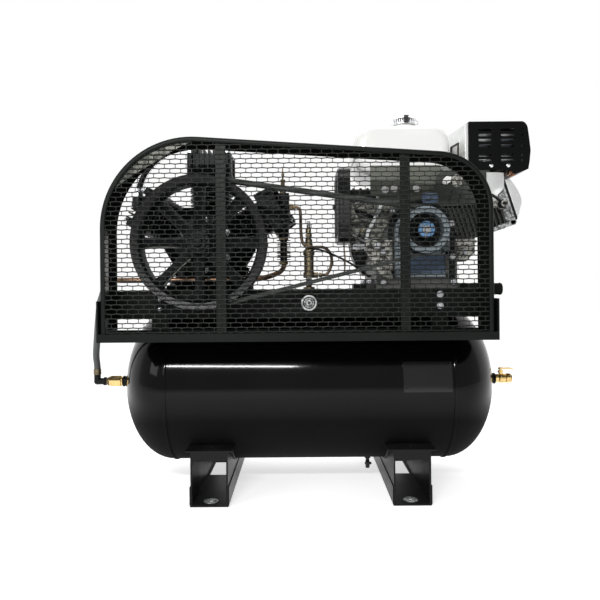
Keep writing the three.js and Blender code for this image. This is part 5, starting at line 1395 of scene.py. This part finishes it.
def fan_side():
    """Fan housing, starter cover and what hangs on them."""
    refine("fan_housing", "black_plastic", bevel=4, segments=4)
    refine("recoil_cover", "black_plastic", bevel=1.6, segments=3)
    bolts = Solid(ENGINE)
    bolt_circle = 98
    for x, z in circle(bolt_circle, 6, math.pi / 6):
        bolts.hexagon((x, 174.2, z), Y, 9, 4, 6)
    for x, z in ((-118, 30), (-60, 112), (170, 108), (178, 40), (96, -74), (-88, -88)):
        bolts.hexagon((x, 160, z), Y, 10, 4, 7)
    bolts.lathe([(0, 0), (15, 0), (15, 2), (12, 5), (0, 6)], (0, 202, 0), Y, 36)
    bolts.make("starter_bolts", "zinc_plate", slot="zinc", bevel=0.3)
    x, y, z = -126, 178, 62
    grip = Solid(ENGINE)
    grip.bar((x - 1, y, z), (x + 126, y, z), 2.4, 16)
    grip.lathe([(0, 0), (7, 0), (7.6, 4), (8.6, 12), (9, 17), (0, 17)], (x, y, z), -X, 28)
    grip.lathe([(0, -36), (6, -36), (9, -33), (10, -26), (9.2, -14), (10, 0), (9.2, 14), (10, 26), (9, 33),
                (6, 36), (0, 36)], (x - 22, y, z), Y, 32)
    grip.make("starter_grip", "black_plastic", "recoil_grip")
    refine("engine_switch", "red_plastic", bevel=0.8)


def fuel_tank():
    """Pressed tank with soft ends and a seam, its neck, and the knurled cap with its latch."""
    left, right, bottom, top, front, back, soft = -138, 107, 161, 289, -58, 158, 26
    tank_shape = Solid(ENGINE)
    rings = []
    angles = [math.pi / 18 * k for k in range(10)]
    stations = [(soft * (1 - math.sin(a)), front + soft * (1 - math.cos(a))) for a in angles]
    stations += [(inset, front + back - y) for inset, y in reversed(stations)]
    for inset, y in stations:
        loop = rounded(left + inset, right - inset, bottom + inset * 0.8, top - inset * 0.8,
                       48 - inset * 0.6, 9)
        rings.append([(x, y, z) for x, z in loop])
    tank_shape.rings(rings)
    middle = (bottom + top) / 2 - 20
    tank_shape.prism(rounded(left - 3.5, right + 3.5, front - 3.5, back + 3.5, 30, 8),
                     middle - 2, middle + 2, "xy")
    neck_x, neck_y, cap_radius = 3.5, 40, 36.5
    tank_shape.lathe([(0, top - 5), (30, top - 5), (30, top + 16), (28.5, top + 18), (0, top + 18)],
                     (neck_x, neck_y, 0), Z, 48)
    tank_shape.make("fuel_tank_pressed", "cream_paint", "fuel_tank", bevel=0.8, angle=40)
    z = top + 18.3
    cap = Solid(ENGINE)
    profile = [(0, z), (cap_radius, z), (cap_radius, z + 13), (34, z + 17), (31, z + 20), (12, z + 22),
               (0, z + 22.5)]
    cap.lathe(profile, (neck_x, neck_y, 0), Z, 56)
    for u, v in circle(cap_radius + 0.1, 40):
        cap.bar((neck_x + u, neck_y + v, z + 1), (neck_x + u, neck_y + v, z + 13), 1.7, 8)
    cap.prism(rounded(-20.5, 27.5, 35, 45, 4), z + 20, z + 26.6, "xy")
    cap.make("fuel_cap_plated", "chrome", "fuel_cap", bevel=0.4)
    latch = Solid(ENGINE)
    latch.block(-3, 10, 0.8, 3.6, z + 0.6, z + 21)
    latch.make("fuel_cap_tab", "black_plastic", slot="black_plastic", body="fuel_cap", bevel=0.8)


def muffler():
    """Can with its slanted end plate, and the slotted shield with round-ended slots."""
    can = Solid(ENGINE)
    front, rear, low, high = -53, 119, 183, 279
    section = rounded(front, rear, low, high, 22, 8)
    start_x, end_x, slope, steps = 144, 278, 24, 6
    rings = []
    for k in range(steps + 1):
        ring = []
        for y, z in section:
            first = start_x - slope * (y - front) / (rear - front)
            ring.append((first + (end_x - first) * k / steps, y, z))
        rings.append(ring)
    inset = rounded(front + 4, rear - 4, low + 4, high - 4, 19, 8)
    rings.append([(end_x + 2, y, z) for y, z in inset])
    can.rings(rings)
    can.prism([(139, -71), (147, -71), (147, -67), (145.5, -67), (122, 121), (118, 121), (141, -67),
               (139, -67)], 172, 285, "xy")
    can.prism([(136, -30), (140, -30), (139.2, -24), (135.2, -24)], 204, 252, "xy")
    can.prism([(127.8, 30), (131.8, 30), (131, 36), (127, 36)], 204, 252, "xy")
    for z in (204, 247):
        can.prism([(136, -30), (140, -30), (131, 36), (127, 36)], z, z + 5, "xy")
    can.prism(rounded(196, 253, 174, 188, 3, 4), -70.7, -2)
    can.bar((206, -10, 166), (206, -10, 200), 17, 32)
    can.prism([(186, -38), (226, -38), (226, 18), (186, 18)], 164.5, 170, "xy")
    can.make("muffler_can", "aluminised_plate", "muffler_body", bevel=0.7, angle=40)
    tinted = Solid(ENGINE)
    tinted.prism([(150, 206), (272, 206), (272, 234), (150, 234)], front - 0.6, front + 1)
    tinted.prism([(216, 236), (272, 236), (272, 256), (216, 256)], front - 0.6, front + 1)
    tinted.make("muffler_heat_bands", "heat_tinted_plate", slot="black_pipe")
    seam = Solid(ENGINE)
    for z in (206, 245):
        seam.prism([(133.6, -23.4), (134.6, -23.4), (127.6, 29), (126.6, 29)], z, z + 3.4, "xy")
    seam.prism([(133.4, -24), (134.8, -24), (134, -18), (132.6, -18)], 206, 248, "xy")
    seam.prism([(127, 25), (128.4, 25), (127.6, 31), (126.2, 31)], 206, 248, "xy")
    seam.make("muffler_square_groove", "burnt_pipe", slot="black_pipe")
    shield = Solid(ENGINE)
    outer = [(148, 166), (250, 166), (266, 156), (298, 168.5), (301.6, 190), (304, 216), (300.8, 246),
             (297, 274), (294, 281), (290, 286), (284, 289), (148, 289)]
    inner = [(148, 169), (250.8, 169), (266.3, 159.3), (295.2, 170.5), (298.6, 190), (301, 216), (297.8, 246),
             (294.1, 273), (291.6, 279), (288.4, 283.4), (283, 286), (148, 286)]
    rows, columns = (190.4, 203.4, 227, 241.8, 254.8, 268.4), ((172, 206), (228.5, 263), (279, 285.5))
    slots = [rounded(left, right, z - 3.4, z + 3.4, 3.2, 5) for z, (left, right) in product(rows, columns)]
    shield.prism(outer, -74, -71, holes=slots)
    shield.prism([*outer, *reversed(inner)], -71, 96)
    shield.make("muffler_shield_pressed", "heat_shield_paint", "muffler_shield", bevel=0.7, angle=50)
    screws = Solid(ENGINE)
    for x in (203.5, 246.5):
        screws.lathe([(0, 0), (5.4, 0), (5, 2), (3, 3.6), (0, 4)], (x, -74, 177.5), -Y, 24)
    screws.make("shield_screws", "chrome", slot="zinc")
    ends = Solid(ENGINE)
    for x, z in ((254.5, 159.5), (263, 155.5)):
        ends.lathe([(1.6, 0), (3.6, 0), (3.6, 24), (1.6, 24)], (x, -68, z), Y, 20, True)
    ends.make("drain_tube_ends", "copper", slot="copper")


def intake_side():
    """Air cleaner in two halves with its knob, carburettor with brass jets, thin drain tube."""
    case = Solid(ENGINE)
    for low, high, grow in ((-184, -180, -4), (-180, -170, 0), (-169.2, -152, 0)):
        case.prism(rounded(-67 - grow, 83 + grow, -12.5 - grow, 181.5 + grow, 24 + grow, 7), low, high, "yz")
    case.prism(rounded(-64, 80, -9.5, 178.5, 22, 7), -170.5, -168.5, "yz")
    for y in (-40, -10, 20, 50):
        case.prism(rounded(y, y + 5, 6, 160, 2.4, 3), -186.4, -183.6, "yz")
    case.lathe([(0, 0), (9, 0), (9, 5), (6, 8), (0, 9)], (-184, 8, 84.5), -X, 28)
    case.make("air_cleaner_moulded", "black_plastic", "air_cleaner", bevel=1.6, segments=3)
    refine("carburettor", "oily_casting", bevel=1.4, segments=3)
    jets = Solid(ENGINE)
    jets.hexagon((-126, 6, -26), -Z, 12, 6)
    jets.hexagon((-118, -12, 20), -Y, 8, 8)
    for z in (2, 52):
        jets.hexagon((-149, -20.5, z), -Y, 9, 5)
    jets.sweep(smooth_route([(-168, -44, -12), (-168, -50, -30), (-166, -52, -60), (-168, -52, -92)], 8), 2)
    jets.hexagon((-168, -52, -88), -Z, 8, 9)
    jets.make("carburettor_jets", "old_brass", slot="brass", bevel=0.3)
    linkage = Solid(ENGINE)
    linkage.sweep(smooth_route([(-118, -24, 44), (-104, -60, 56), (-86, -120, 50), (-84, -160, 40)], 6), 1.6)
    linkage.bar((-149, -30, 12), (-110, -30, -10), 2.6)
    linkage.prism(rounded(-144, -112, -30, -16, 4), -34, -31)
    linkage.make("control_links", "zinc_plate", slot="zinc", bevel=0.3)
    refine("choke_lever", "zinc_plate", bevel=0.6)


for draw in (tank, data_plate, tank_fittings, drain_cock, stand, guard_hoop, guard_panel, guard_fittings,
             flywheel, engine_pulley):
    draw()
belt("front_belt", DRIVE_Y - GROOVE_STEP / 2)
belt("back_belt", DRIVE_Y + GROOVE_STEP / 2)
pump_body()
for which, angle in (("left", -PUMP_TILT), ("centre", 0), ("right", PUMP_TILT)):
    cylinder(which, angle)
for draw in (pump_pipes, valves, intake_filters, crankcase, pto_cover, engine_cylinder, rocker_cover, cowl,
             fan_side, fuel_tank, muffler, intake_side):
    draw()


# ---------------------------------------------------------------- studio
def studio():
    """Pale floor, three soft lamps, and a surround that the camera sees white.

    Reflections see it white behind the object, grey in front and dark above; it lights evenly and dimly.
    """
    glow, daylight, mirror_front, mirror_top = 0.62, 0.42, 0.6, 0.03
    ground = bpy.data.meshes.new("floor")
    ground.from_pydata([(-6, -4, 0), (6, -4, 0), (6, 8, 0), (-6, 8, 0)], [], [(0, 1, 2, 3)])
    floor = bpy.data.objects.new("floor", ground)
    bpy.context.collection.objects.link(floor)
    pale = Finish("floor_paint")
    seen = [pale.node("ShaderNodeLightPath", output=f"Is {kind} Ray")
            for kind in ("Camera", "Glossy", "Transmission")]
    ground.materials.append(pale.surface(
        Base_Color=(0.9, 0.9, 0.9, 1), Roughness=0.9,
        Emission_Color=pale.mix(seen[0] + seen[1] + seen[2], (0, 0, 0), (glow, glow, glow)),
        Emission_Strength=1.0))
    surround = Finish("surround", bpy.data.worlds)
    way = surround.node("ShaderNodeTexCoord", output="Generated")
    behind, above = (surround.node("ShaderNodeSeparateXYZ", None, {0: way}, output=k) for k in (1, 2))
    behind, above = behind.spread(0.0, 0.15), above.spread(0.44, 0.5)
    seen, glossy, clear = (surround.node("ShaderNodeLightPath", output=f"Is {kind} Ray")
                           for kind in ("Camera", "Glossy", "Transmission"))
    mirrored = behind + (1 - behind) * (mirror_front - above * (mirror_front - mirror_top))
    strength = (glossy + clear) * (mirrored - daylight) + daylight
    light = surround.node("ShaderNodeBackground", None, {
        "Color": (1, 1, 1, 1), "Strength": seen + (1 - seen) * strength})
    surround.node("ShaderNodeOutputWorld", None, {"Surface": light})
    bpy.context.scene.world = surround.material
    aim = Vector((0, 0, 0.5))
    lamps = {  # place in metres, size in metres, watts
        "key": ((-0.45, -2.1, 1.4), (0.8, 0.05), 26),
        "fill": ((-2.0, -1.8, 1.5), (1.2, 1.2), 14),
        "top": ((0.3, 0.8, 2.6), (1.6, 1.6), 30),
    }
    for name, (place, size, power) in lamps.items():
        data = bpy.data.lights.new(name, "AREA")
        data.shape, (data.size, data.size_y), data.energy = "RECTANGLE", size, power
        lamp = bpy.data.objects.new(name, data)
        lamp.location = place
        lamp.rotation_euler = (aim - Vector(place)).to_track_quat("-Z", "Y").to_euler()
        bpy.context.collection.objects.link(lamp)


studio()
